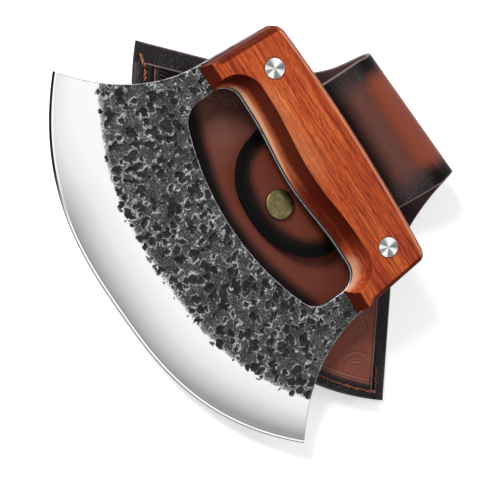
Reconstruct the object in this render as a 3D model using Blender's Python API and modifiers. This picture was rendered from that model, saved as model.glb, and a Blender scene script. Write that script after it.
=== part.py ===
"""Ulu knife lying on its snapped leather sheath, in metres, +Z up.

The origin is on the table, under the sheath's centre line, level with the two pouch corners.
+X runs along the knife's handle, +Y from the cutting edge towards the fold of the sheath's strap.
The knife is drawn in its own frame (origin midway between the blade's tips, in the middle of the
steel) and then laid on the sheath: the handle rests on the strap, the blade on the pouch's edge.
"""
import math

import bmesh
import bpy
from mathutils import Euler, Matrix, Vector
from mathutils.geometry import interpolate_bezier

# General fits
SEAT_GAP = 0.0003            # between pieces that touch
RUN_GAP = 0.0003             # round a shank in its hole

# Blade
BLADE_WIDTH = 0.189          # tip to tip
BLADE_SAG = 0.033            # the cutting arc drops this far below the tips
ARC_POWER = 2.7              # flatness of the arc: 2 is a parabola
BLADE_THICK = 0.0028
GRIND_WIDTH = 0.019          # the polished band beside the cutting arc
KEEN_WIDTH = 0.0012          # the last narrow facet before the edge
KEEN_THICK = 0.0008
EDGE_THICK = 0.0003
GRIND_SPARE = 0.0002         # the ground faces run this far past the flats
NECK_WIDTH = 0.1266          # steel across the two arms, where it enters the handle
NECK_Y = 0.052

# Finger window through the steel
WINDOW_WIDTH = 0.102
WINDOW_FLOOR_Y = 0.0253
WINDOW_FLOOR_RISE = 0.0105   # the floor climbs this far towards the corners
WINDOW_CORNER_R = 0.007

# Handle
HANDLE_LENGTH = 0.1205       # across the ends at the palm edge
ARM_SPLAY = 0.0022           # each end leans out this far towards the blade
PALM_Y = 0.0907              # palm edge at mid-length
PALM_CROWN = 0.0022          # the palm edge falls back this far at its ends
PALM_CORNER_R = 0.0035
ARM_END_Y = 0.0508
FINGER_Y = 0.0598            # finger edge of the wood beside its swell
FINGER_SWELL = 0.0025        # the middle of the finger edge swells towards the blade
FINGER_SWELL_REACH = 0.035
ARM_CORNER_R = 0.0085
TANG_PROUD = 0.0010          # the steel shows this much past the wood at the fingers
SCALE_THICK = 0.0077
COVE_WIDTH = 0.0072          # the wood is scooped this far back at the fingers
COVE_ARM = 0.0026            # and this far inside each arm
COVE_CORNER = 0.0050         # extra corner radius at the outer face
ARM_END_DRAFT = 0.0036
END_DRAFT = 0.0012
EASED_EDGE = 0.0004

# Two-part rivets
RIVET_SPACING = 0.0904
RIVET_Y = 0.0758
RIVET_HEAD_D = 0.0086
RIVET_HEAD_DEPTH = 0.0024
RIVET_PROUD = 0.0002
RIVET_TUBE_D = 0.0054
RIVET_PIN_D = 0.0032

# Sheath pouch
LEATHER = 0.0018
WELT_THICK = 0.0037
WELT_WIDTH = 0.0075
POUCH_WIDTH = 0.1925         # corner to corner
POUCH_DEPTH = 0.037          # the arc drops this far below the corners
WING_ANGLE = math.radians(43)
WING_LENGTH = 0.052          # straight mouth edge of each wing
MOUTH_MARGIN = 0.0098        # the front panel stops this far short of the back panel's edge
MOUTH_Y = 0.0300             # top edge of the front panel at mid-width
GROOVE_INSET = 0.0030
GROOVE_WIDTH = 0.0017
GROOVE_DEPTH = 0.0006
THREAD_D = 0.0008
STITCH_PITCH = 0.0066
THREAD_AT_HOLE = 0.6         # the thread thins to this share at each hole

# Closing strap
STRAP_WIDTH = 0.0650
ROOT_WIDTH = 0.0716          # the strap is wider where it leaves the pouch
ROOT_SHIFT = 0.0030          # its root lies this far to one side
CROWN_SHIFT = -0.0016        # and has drifted to here at the crown of the fold
CROWN_Y = 0.0755             # crown line of the fold
FOLD_TURN = math.radians(2.7)   # the crown line's angle to the handle
FOLD_TURN_REACH = 0.026      # the turn dies out this far from the crown
LOOP_HEIGHT = 0.020          # table to the top of the fold
FLAP_LENGTH = 0.0825         # crown line to the tongue's tip
TONGUE_WIDTH = 0.0628        # the strap narrows to this where the tongue starts to round
TONGUE_LENGTH = 0.0285       # rounded part of the tongue
TONGUE_POWER = 2.3           # fullness of its curve: 2 is an ellipse
TONGUE_LEAN = 0.0042         # its tip leans this far to one side
FLAP_SKEW = math.radians(3.6)   # the tongue hangs a little to one side
FLAP_RISE_AHEAD = 0.0175     # the strap starts to climb this far ahead of the handle's palm edge

# Snap fastener
SNAP_FROM_TIP = 0.0137
SNAP_CAP_D = 0.0125
SNAP_CAP_HEIGHT = 0.0017
SNAP_LIFT = 0.0026           # the closed snap holds the tongue off the panel
SNAP_LIFT_REACH = 0.0085     # the lift dies out this far from the cap
SNAP_SOCKET_D = 0.0094
SNAP_STUD_D = 0.0034
SNAP_POST_D = 0.0016
SNAP_FLANGE_D = 0.0084
SNAP_FLANGE = 0.0005

# How the knife lies on the sheath
KNIFE_X = -0.0120
KNIFE_TURN = math.radians(-1.2)
HANDLE_TO_CROWN = 0.0272     # palm edge to the crown of the fold

# Facets
ARC_STEPS = 44
TURN_STEPS = 28

# Heights that follow
POCKET = WELT_THICK + 2 * SEAT_GAP
PANEL_BASE = LEATHER + POCKET
POUCH_TOP = PANEL_BASE + LEATHER
THREAD_TOP = POUCH_TOP - GROOVE_DEPTH + SEAT_GAP + THREAD_D
FLAP_BASE = POUCH_TOP + SEAT_GAP
FOLD_R = (LOOP_HEIGHT - LEATHER) / 2
HALF_STEEL = BLADE_THICK / 2
SCALE_BASE = HALF_STEEL + SEAT_GAP
SCALE_TOP = SCALE_BASE + SCALE_THICK
CUT_MARGIN = 0.004           # cutters run this far past what they cut


def clear_scene():
    for thing in list(bpy.data.objects):
        bpy.data.objects.remove(thing, do_unlink=True)


clear_scene()
PARTS = bpy.data.collections.new("ulu_knife")
CUTTERS = bpy.data.collections.new("cutters")
bpy.context.scene.collection.children.link(PARTS)
bpy.context.scene.collection.children.link(CUTTERS)


def make_material(name, colour, roughness, metallic=0.0):
    material = bpy.data.materials.new(name)
    material.use_nodes = True
    shader = material.node_tree.nodes["Principled BSDF"]
    shader.inputs["Base Color"].default_value = (*colour, 1)
    shader.inputs["Roughness"].default_value = roughness
    shader.inputs["Metallic"].default_value = metallic
    material.diffuse_color = (*colour, 1)
    return material


def add_object(name, mesh, collection, parent=None):
    thing = bpy.data.objects.new(name, mesh)
    collection.objects.link(thing)
    if parent:
        thing.parent = parent
    if collection is CUTTERS:
        thing.hide_render = True
        thing.display_type = 'WIRE'
    return thing


def shade(thing, angle=35):
    thing.data.shade_smooth()
    thing.data.set_sharp_from_angle(angle=math.radians(angle))


def plate(name, outlines, thickness, middle, collection, parent=None):
    """A flat piece with the first outline as its edge and any others as holes."""
    curve = bpy.data.curves.new(name, 'CURVE')
    curve.dimensions = '2D'
    curve.fill_mode = 'BOTH'
    curve.extrude = thickness / 2
    for outline in outlines:
        spline = curve.splines.new('POLY')
        spline.points.add(len(outline) - 1)
        for point, (x, y) in zip(spline.points, outline):
            point.co = (x, y, 0, 1)
        spline.use_cyclic_u = True
    guide = bpy.data.objects.new(name + "_curve", curve)
    CUTTERS.objects.link(guide)
    guide.location.z = middle
    bpy.context.view_layer.update()
    evaluated = guide.evaluated_get(bpy.context.evaluated_depsgraph_get())
    mesh = bpy.data.meshes.new_from_object(evaluated)
    mesh.name = name
    mesh.transform(guide.matrix_world)
    bpy.data.objects.remove(guide, do_unlink=True)
    shape = bmesh.new()
    shape.from_mesh(mesh)
    bmesh.ops.remove_doubles(shape, verts=shape.verts, dist=0.000002)
    bmesh.ops.recalc_face_normals(shape, faces=shape.faces)
    shape.to_mesh(mesh)
    shape.free()
    return add_object(name, mesh, collection, parent)


def turned(name, profile, centre, collection, parent=None):
    """A round piece about Z. The profile runs down its outer side."""
    mesh = bpy.data.meshes.new(name)
    shape = bmesh.new()
    rail = [shape.verts.new((radius, 0, height)) for radius, height in profile]
    for above, below in zip(rail, rail[1:]):
        shape.edges.new((above, below))
    shape.to_mesh(mesh)
    shape.free()
    thing = add_object(name, mesh, collection, parent)
    thing.location = centre
    screw = thing.modifiers.new("turn", 'SCREW')
    screw.steps = TURN_STEPS
    screw.render_steps = TURN_STEPS
    screw.use_merge_vertices = True
    screw.merge_threshold = 0.00001
    screw.use_smooth_shade = True
    return thing


def loft(name, rings, collection, parent=None):
    """A solid through rings of equal count, each a list of (x, y, z), closed by flat ends."""
    mesh = bpy.data.meshes.new(name)
    shape = bmesh.new()
    levels = [[shape.verts.new(point) for point in ring] for ring in rings]
    count = len(rings[0])
    for low, high in zip(levels, levels[1:]):
        for i in range(count):
            j = (i + 1) % count
            shape.faces.new((low[i], low[j], high[j], high[i]))
    shape.faces.new(list(reversed(levels[0])))
    shape.faces.new(levels[-1])
    bmesh.ops.recalc_face_normals(shape, faces=shape.faces)
    shape.to_mesh(mesh)
    shape.free()
    return add_object(name, mesh, collection, parent)


def boolean(thing, other, operation='DIFFERENCE'):
    step = thing.modifiers.new(operation.lower(), 'BOOLEAN')
    step.operation = operation
    step.solver = 'EXACT'
    step.object = other


def mirrored(half):
    """A closed outline from its right half, which runs from the top centre to the bottom centre."""
    left = [(-x, y) for x, y in reversed(half) if x > 0.000001]
    return half + left


def corner_arc(before, corner, after, radius, steps=6):
    """Points that round the corner between two straight runs."""
    corner = Vector(corner)
    to_before = (Vector(before) - corner)
    to_after = (Vector(after) - corner)
    radius = min(radius, 0.8 * to_before.length, 0.8 * to_after.length)
    start = corner + to_before.normalized() * radius
    end = corner + to_after.normalized() * radius
    curve = interpolate_bezier(
        start, start.lerp(corner, 0.56), end.lerp(corner, 0.56), end, steps)
    return [(p.x, p.y) for p in curve]


# Arcs that the blade and the pouch share

def arc_point(x, half_width, depth):
    """A point of the arc and its inward normal. The ends of the arc are level with y = 0."""
    share = abs(x) / half_width
    y = depth * (share ** ARC_POWER - 1)
    slope = math.copysign(depth * ARC_POWER / half_width * share ** (ARC_POWER - 1), x)
    return Vector((x, y)), Vector((-slope, 1)).normalized()


def arc_line(half_width, depth, inset, reach, steps=ARC_STEPS):
    """The arc moved inwards by inset, from x = -reach to x = reach."""
    line = []
    for i in range(steps + 1):
        x = reach * (2 * i / steps - 1)
        point, normal = arc_point(x, half_width, depth)
        point = point + normal * inset
        line.append((point.x, point.y))
    return line


# Knife

def window_outline(half_width, floor_y, top, swell, corner_r):
    """The finger window, or the steel's edge of it."""
    half = finger_line(half_width, top, swell, corner_r)
    rise = WINDOW_FLOOR_RISE
    side_foot = (half_width, floor_y + rise)
    inner = (half_width * 0.75, floor_y + rise * 0.75 ** 2)
    half += corner_arc((half_width, top), side_foot, inner, WINDOW_CORNER_R)
    steps = 8
    for i in range(steps, -1, -1):
        share = 0.75 * i / steps
        half.append((half_width * share, floor_y + rise * share ** 2))
    return mirrored(half)


def finger_line(half_width, top, swell, corner_r):
    """Right half of the finger edge, from mid-length out and round into the arm's inner side."""
    line = []
    corner_x = half_width - corner_r
    steps = 9
    for i in range(steps + 1):
        x = corner_x * i / steps
        line.append((x, top - finger_swell(x, swell)))
    turn = 6
    for i in range(1, turn + 1):
        angle = math.radians(90) * i / turn
        line.append((corner_x + corner_r * math.sin(angle),
                     top - corner_r * (1 - math.cos(angle))))
    return line


def finger_swell(x, swell):
    if abs(x) >= FINGER_SWELL_REACH:
        return 0.0
    return swell * (1 + math.cos(math.pi * x / FINGER_SWELL_REACH)) / 2


def scale_outline(share, draft, shrink):
    """Edge of a handle scale. share is how much of the cove is cut, draft how much of the taper."""
    half = []
    end_x = HANDLE_LENGTH / 2 - END_DRAFT * draft - shrink
    foot_x = end_x + ARM_SPLAY
    palm = PALM_Y - shrink
    shoulder = palm - PALM_CROWN
    steps = 8
    reach = end_x - PALM_CORNER_R
    for i in range(steps + 1):
        x = reach * i / steps
        half.append((x, palm - PALM_CROWN * (x / end_x) ** 2))
    half += corner_arc((0, shoulder), (end_x, shoulder), (foot_x, ARM_END_Y), PALM_CORNER_R)[1:]
    foot_y = ARM_END_Y + ARM_END_DRAFT * draft + shrink
    inner_x = WINDOW_WIDTH / 2 + COVE_ARM * share + shrink
    half.append((foot_x, foot_y))
    half.append((inner_x, foot_y))
    finger_y = FINGER_Y + COVE_WIDTH * share + shrink
    corner_r = min(ARM_CORNER_R + COVE_CORNER * share, finger_y - foot_y - EASED_EDGE)
    finger = finger_line(inner_x, finger_y, FINGER_SWELL, corner_r)
    half += list(reversed(finger))
    return mirrored(half)


def cove_share(height):
    """How much of the scoop is cut at this share of the scale's height."""
    return 1 - (1 - height) ** 1.7


def handle_scale(name, side, knife):
    rings = []
    eased = EASED_EDGE / SCALE_THICK
    for height in (0.0, 0.2, 0.42, 0.68, 1 - eased):
        z = side * (SCALE_BASE + SCALE_THICK * height)
        rings.append([(x, y, z) for x, y in scale_outline(cove_share(height), height, 0)])
    top = scale_outline(1, 1, EASED_EDGE)
    rings.append([(x, y, side * SCALE_TOP) for x, y in top])
    if side < 0:
        rings.reverse()
    return loft(name, rings, PARTS, knife)


def steel_outline():
    """Edge of the steel: the arc, the hollow horns, the neck and the tang inside the handle."""
    half_width = BLADE_WIDTH / 2
    neck = NECK_WIDTH / 2
    half = []
    end_x = HANDLE_LENGTH / 2
    reach = end_x - PALM_CORNER_R
    shoulder = PALM_Y - PALM_CROWN
    steps = 8
    for i in range(steps + 1):
        x = reach * i / steps
        half.append((x, PALM_Y - PALM_CROWN * (x / end_x) ** 2))
    half += corner_arc((0, shoulder), (end_x, shoulder), (neck, NECK_Y), PALM_CORNER_R)[1:]
    drop = half_width - neck
    horn = interpolate_bezier(
        Vector((neck, NECK_Y)), Vector((neck + 0.055 * drop, NECK_Y * 0.58)),
        Vector((neck + 0.455 * drop, NECK_Y * 0.24)), Vector((half_width, 0)), 16)
    half += [(p.x, p.y) for p in horn]
    edge = arc_line(half_width, BLADE_SAG, 0, half_width)
    half += [p for p in reversed(edge[len(edge) // 2:-1])]
    return mirrored(half)


def grind_body(knife):
    """Everything inside the two ground faces that meet at the cutting arc."""
    half_width = BLADE_WIDTH / 2
    reach = half_width * 1.22
    slope = (GRIND_WIDTH - KEEN_WIDTH) / (HALF_STEEL - KEEN_THICK / 2)
    levels = [(EDGE_THICK / 2, 0.0), (KEEN_THICK / 2, KEEN_WIDTH),
              (HALF_STEEL + GRIND_SPARE, GRIND_WIDTH + slope * GRIND_SPARE)]
    levels = [(-z, inset) for z, inset in reversed(levels)] + levels
    far_y = PALM_Y + CUT_MARGIN
    rings = []
    for z, inset in levels:
        ring = [(x, y, z) for x, y in arc_line(half_width, BLADE_SAG, inset, reach)]
        ring += [(reach * 1.1, far_y, z), (-reach * 1.1, far_y, z)]
        rings.append(ring)
    return loft("blade_grind", rings, CUTTERS, knife)


def rivet_places():
    return {"left": (-RIVET_SPACING / 2, RIVET_Y, 0), "right": (RIVET_SPACING / 2, RIVET_Y, 0)}


def rivet_seat(name, centre, knife):
    """Cutter for the through hole and the two head recesses."""
    head = RIVET_HEAD_D / 2 + RUN_GAP
    tube = RIVET_TUBE_D / 2 + RUN_GAP
    seat = SCALE_TOP - RIVET_HEAD_DEPTH - SEAT_GAP
    far = SCALE_TOP + CUT_MARGIN
    profile = [(0, far), (head, far), (head, seat), (tube, seat),
               (tube, -seat), (head, -seat), (head, -far), (0, -far)]
    return turned(name, profile, centre, CUTTERS, knife)


def rivet_front(name, centre, knife):
    """The half with the solid pin."""
    head, pin = RIVET_HEAD_D / 2, RIVET_PIN_D / 2
    under = SCALE_TOP - RIVET_HEAD_DEPTH
    top = SCALE_TOP + RIVET_PROUD
    profile = [(0, top), (head - RIVET_PROUD, top), (head, top - RIVET_PROUD),
               (head, under), (pin, under), (pin, -under + SEAT_GAP * 3), (0, -under + SEAT_GAP * 3)]
    return turned(name, profile, centre, PARTS, knife)


def rivet_back(name, centre, knife):
    """The half with the tube that takes the pin."""
    head, tube = RIVET_HEAD_D / 2, RIVET_TUBE_D / 2
    bore = RIVET_PIN_D / 2 + RUN_GAP
    under = SCALE_TOP - RIVET_HEAD_DEPTH
    top = SCALE_TOP + RIVET_PROUD
    floor = -under + SEAT_GAP
    profile = [(0, floor), (bore, floor), (bore, under - SEAT_GAP), (tube, under - SEAT_GAP),
               (tube, -under), (head, -under), (head, -top + RIVET_PROUD),
               (head - RIVET_PROUD, -top), (0, -top)]
    return turned(name, profile, centre, PARTS, knife)


def build_knife(knife, finishes):
    window = window_outline(
        WINDOW_WIDTH / 2, WINDOW_FLOOR_Y, FINGER_Y - TANG_PROUD, FINGER_SWELL, ARM_CORNER_R)
    blade = plate("blade", [steel_outline(), window], BLADE_THICK, 0, PARTS, knife)
    boolean(blade, grind_body(knife), 'INTERSECT')
    front = handle_scale("front_scale", 1, knife)
    back = handle_scale("back_scale", -1, knife)
    rivets = []
    for place, centre in rivet_places().items():
        seat = rivet_seat("rivet_seat_" + place, centre, knife)
        for piece in (blade, front, back):
            boolean(piece, seat)
        rivets.append(rivet_front("rivet_front_" + place, centre, knife))
        rivets.append(rivet_back("rivet_back_" + place, centre, knife))
    blade.data.materials.append(finishes["forged_steel"])
    for scale in (front, back):
        scale.data.materials.append(finishes["handle_wood"])
        shade(scale)
    for rivet in rivets:
        rivet.data.materials.append(finishes["rivet_steel"])


# Where the knife lies

def wood_underside():
    """Under side of the back scale, from the steel's finger edge to the palm edge, as (y, z)."""
    line = [(FINGER_Y - FINGER_SWELL - TANG_PROUD, -HALF_STEEL)]
    steps = 8
    for i in range(steps + 1):
        height = i / steps
        line.append((FINGER_Y - FINGER_SWELL + COVE_WIDTH * cove_share(height),
                     -(SCALE_BASE + SCALE_THICK * height)))
    foot = line[-1][0] + EASED_EDGE
    for i in range(steps + 1):
        line.append((foot + (PALM_Y - foot) * i / steps, -SCALE_TOP))
    return line


def sheath_top(y, rise_y, snap_y):
    """Top of the closed sheath at this distance along it."""
    top = THREAD_TOP if -POUCH_DEPTH <= y <= MOUTH_Y else 0.0
    if y >= CROWN_Y - FLAP_LENGTH:
        ahead = flap_height(y + SEAT_GAP, rise_y, snap_y)
        here = flap_height(y, rise_y, snap_y)
        top = max(top, here + math.hypot(1, (ahead - here) / SEAT_GAP) * LEATHER / 2)
    if abs(y - snap_y) <= SNAP_CAP_D / 2:
        top = max(top, FLAP_BASE + SNAP_LIFT + LEATHER + SEAT_GAP + SNAP_CAP_HEIGHT)
    return top


def resting_place():
    """Tilt, y and height of the knife's frame that let the steel and the wood both touch."""
    palm_y = CROWN_Y - HANDLE_TO_CROWN
    rise_y = palm_y - FLAP_RISE_AHEAD
    snap_y = snap_place().y
    wood = wood_underside()
    low, high = math.radians(-10), math.radians(35)
    for _ in range(40):
        tilt = (low + high) / 2
        c, s = math.cos(tilt), math.sin(tilt)
        y = palm_y - PALM_Y * c - SCALE_TOP * s
        wood_needs = max(
            sheath_top(y + along * c - up * s, rise_y, snap_y) + SEAT_GAP - along * s - up * c
            for along, up in wood)
        along = (-POUCH_DEPTH - y - HALF_STEEL * s) / c
        steel_needs = THREAD_TOP + SEAT_GAP + HALF_STEEL * c - along * s
        if wood_needs > steel_needs:
            low = tilt
        else:
            high = tilt
    return tilt, y, max(wood_needs, steel_needs), palm_y


# Sheath

def wing_direction():
    return Vector((-math.cos(WING_ANGLE), math.sin(WING_ANGLE)))


def wing_end():
    corner = Vector((POUCH_WIDTH / 2, 0))
    return corner + wing_direction() * WING_LENGTH


def front_corner():
    """Where the front panel's mouth edge meets the arc."""
    inward = Vector((-math.sin(WING_ANGLE), -math.cos(WING_ANGLE)))
    half_width = POUCH_WIDTH / 2
    low, high = 0.0, half_width
    for _ in range(50):
        x = (low + high) / 2
        point, _ = arc_point(x, half_width, POUCH_DEPTH)
        if (point - Vector((half_width, 0))).dot(inward) > MOUTH_MARGIN:
            low = x
        else:
            high = x
    return arc_point((low + high) / 2, half_width, POUCH_DEPTH)[0]


def side_strip(name, path, width, collection):
    """A sheet of leather seen from its side: path is its middle line as (y, z)."""
    upper, lower = [], []
    for i, here in enumerate(path):
        before = Vector(path[max(i - 1, 0)])
        after = Vector(path[min(i + 1, len(path) - 1)])
        along = (after - before).normalized()
        normal = Vector((-along.y, along.x)) * LEATHER / 2
        upper.append(tuple(Vector(here) + normal))
        lower.append(tuple(Vector(here) - normal))
    strip = plate(name, [lower + list(reversed(upper))], width, 0, collection)
    strip.data.transform(Matrix(((0, 0, 1, 0), (1, 0, 0, 0), (0, 1, 0, 0), (0, 0, 0, 1))))
    return strip


def back_path():
    """Flat under the pouch, then half round the fold to its crown."""
    middle = LEATHER / 2
    path = [(-POUCH_DEPTH - CUT_MARGIN, middle), (CROWN_Y, middle)]
    steps = 14
    for i in range(1, steps + 1):
        angle = math.pi * i / steps
        path.append((CROWN_Y + FOLD_R * math.sin(angle),
                     middle + FOLD_R * (1 - math.cos(angle))))
    return path


def flap_height(y, rise_y, snap_y):
    """Middle line of the closed strap above the table."""
    low = FLAP_BASE + LEATHER / 2
    high = LOOP_HEIGHT - LEATHER / 2
    share = min(max((y - rise_y) / (CROWN_Y - rise_y), 0), 1)
    height = low + (high - low) * share * share * (3 - 2 * share)
    away = max(abs(y - snap_y) - SNAP_CAP_D / 2, 0) / SNAP_LIFT_REACH
    if away < 1:
        height += SNAP_LIFT * (1 + math.cos(math.pi * away)) / 2
    return height


def flap_path(rise_y, snap_y):
    start = CROWN_Y - FLAP_LENGTH - CUT_MARGIN
    end = CROWN_Y - SEAT_GAP
    steps = 56
    ys = [start + (end - start) * i / steps for i in range(steps + 1)]
    return [(y, flap_height(y, rise_y, snap_y)) for y in ys]


def flare(side):
    """Edge of the back panel on one side, from the fold out to where the wing is straight."""
    end = wing_end()
    end.x -= side * ROOT_SHIFT
    root = Vector((ROOT_WIDTH / 2, CROWN_Y + FOLD_R + LEATHER))
    run = root.y - end.y
    curve = interpolate_bezier(
        root, root - Vector((0, 0.34 * run)), end + wing_direction() * 0.32 * run, end, 12)
    line = [Vector((root.x, root.y + CUT_MARGIN))] + list(curve)
    return [(side * p.x + ROOT_SHIFT, p.y) for p in line]


def back_outline():
    edge = arc_line(POUCH_WIDTH / 2, POUCH_DEPTH, 0, POUCH_WIDTH / 2)
    return flare(1) + list(reversed(edge)) + list(reversed(flare(-1)))


def fold_turned(point):
    """Moves a point near the fold as the skewed, slightly tapered fold of the strap does."""
    x, y, z = point
    climb = max(z - LEATHER, 0) / (LOOP_HEIGHT - LEATHER)
    if climb > 0 and y > CROWN_Y - SEAT_GAP / 2:
        taper = 1 + (STRAP_WIDTH / ROOT_WIDTH - 1) * climb
        x = ROOT_SHIFT + (x - ROOT_SHIFT) * taper + (CROWN_SHIFT - ROOT_SHIFT) * climb
    share = min(max(1 - (CROWN_Y - y) / FOLD_TURN_REACH, 0), 1)
    weight = share * share * (3 - 2 * share)
    return x, y + (x - CROWN_SHIFT) * math.tan(FOLD_TURN) * weight, z


def turn_fold(thing):
    """Applies the piece's cuts and then the turn of the fold to its mesh."""
    bpy.context.view_layer.update()
    evaluated = thing.evaluated_get(bpy.context.evaluated_depsgraph_get())
    mesh = bpy.data.meshes.new_from_object(evaluated)
    mesh.name = thing.name
    thing.modifiers.clear()
    thing.data = mesh
    shape = bmesh.new()
    shape.from_mesh(mesh)
    bmesh.ops.triangulate(shape, faces=shape.faces)
    for vertex in shape.verts:
        vertex.co = fold_turned(vertex.co)
    shape.to_mesh(mesh)
    shape.free()


def front_outline():
    corner = front_corner()
    climb = (MOUTH_Y - corner.y) / math.sin(WING_ANGLE)
    top = corner + wing_direction() * climb
    half = [(0, MOUTH_Y)]
    half += corner_arc((0, MOUTH_Y), (top.x, MOUTH_Y), tuple(corner), 0.004)
    edge = arc_line(POUCH_WIDTH / 2, POUCH_DEPTH, 0, corner.x)
    half += list(reversed(edge[len(edge) // 2:]))
    return mirrored(half)


def band_outline(inner, outer, reach):
    """A band beside the pouch's arc, between two insets."""
    outside = arc_line(POUCH_WIDTH / 2, POUCH_DEPTH, outer, reach)
    inside = arc_line(POUCH_WIDTH / 2, POUCH_DEPTH, inner, reach)
    return outside + list(reversed(inside))


def tongue_outline():
    """The closed strap in plan, about its own skewed centre line."""
    strap = STRAP_WIDTH / 2
    tongue = TONGUE_WIDTH / 2
    tip_y = -FLAP_LENGTH
    steps = 14
    fullness = 2 / TONGUE_POWER
    half = [(0, CUT_MARGIN), (strap, CUT_MARGIN), (strap, 0), (tongue, tip_y + TONGUE_LENGTH)]
    for i in range(1, steps):
        angle = math.radians(90) * i / steps
        half.append((tongue * math.cos(angle) ** fullness,
                     tip_y + TONGUE_LENGTH * (1 - math.sin(angle) ** fullness)))
    half.append((0, tip_y))
    outline = []
    for x, y in mirrored(half):
        share = max(tip_y + TONGUE_LENGTH - y, 0) / TONGUE_LENGTH
        outline.append(tuple(on_strap(x - TONGUE_LEAN * share ** 2, y)))
    return outline


def on_strap(x, y):
    """A point of the closed strap in plan: y runs back along it from the tongue to the crown."""
    return Matrix.Rotation(-FLAP_SKEW, 2) @ Vector((x, y)) + Vector((CROWN_SHIFT, CROWN_Y))


def snap_place():
    return on_strap(0, SNAP_FROM_TIP - FLAP_LENGTH)


def stitch_thread(reach):
    """The saddle-stitched thread in its groove, drawn in where it dives into each hole."""
    count = int(2 * reach / STITCH_PITCH)
    steps_each = 4
    line = arc_line(
        POUCH_WIDTH / 2, POUCH_DEPTH, GROOVE_INSET, reach, count * steps_each)
    curve = bpy.data.curves.new("stitching", 'CURVE')
    curve.dimensions = '3D'
    curve.bevel_depth = THREAD_D / 2
    curve.bevel_resolution = 2
    curve.use_fill_caps = True
    spline = curve.splines.new('POLY')
    spline.points.add(len(line) - 1)
    z = POUCH_TOP - GROOVE_DEPTH + SEAT_GAP + THREAD_D / 2
    for i, (point, (x, y)) in enumerate(zip(spline.points, line)):
        point.co = (x, y, z, 1)
        point.radius = THREAD_AT_HOLE if i % steps_each == 0 else 1.0
    return add_object("stitching", curve, PARTS)


def build_sheath(finishes, fold, palm_y):
    centre = snap_place()
    back = side_strip("back_panel", back_path(), POUCH_WIDTH + 2 * CUT_MARGIN, PARTS)
    tall = 2 * LOOP_HEIGHT
    boolean(back, plate("back_shape", [back_outline()], tall, LOOP_HEIGHT / 2, CUTTERS), 'INTERSECT')
    turn_fold(back)

    corner_x = front_corner().x
    front = plate(
        "front_panel", [front_outline()], LEATHER, PANEL_BASE + LEATHER / 2, PARTS)
    groove_out = GROOVE_INSET - GROOVE_WIDTH / 2
    groove = plate(
        "stitch_groove", [band_outline(groove_out + GROOVE_WIDTH, groove_out, POUCH_WIDTH * 0.52)],
        2 * GROOVE_DEPTH, POUCH_TOP, CUTTERS)
    boolean(front, groove)
    welt = plate(
        "welt", [band_outline(WELT_WIDTH, 0, corner_x)], WELT_THICK,
        LEATHER + SEAT_GAP + WELT_THICK / 2, PARTS)
    stitches = stitch_thread(corner_x - GROOVE_INSET)

    rise_y = palm_y - FLAP_RISE_AHEAD
    flap = side_strip("closure_flap", flap_path(rise_y, centre.y), POUCH_WIDTH, PARTS)
    boolean(flap, plate("tongue_shape", [tongue_outline()], tall, LOOP_HEIGHT / 2, CUTTERS),
            'INTERSECT')

    build_snap(finishes, centre, front, flap, fold)
    turn_fold(flap)
    for piece in (back, front, flap):
        piece.data.materials.append(finishes["tooled_leather"])
    welt.data.materials.append(finishes["edge_leather"])
    stitches.data.materials.append(finishes["waxed_thread"])
    carry(flap, fold)


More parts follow.
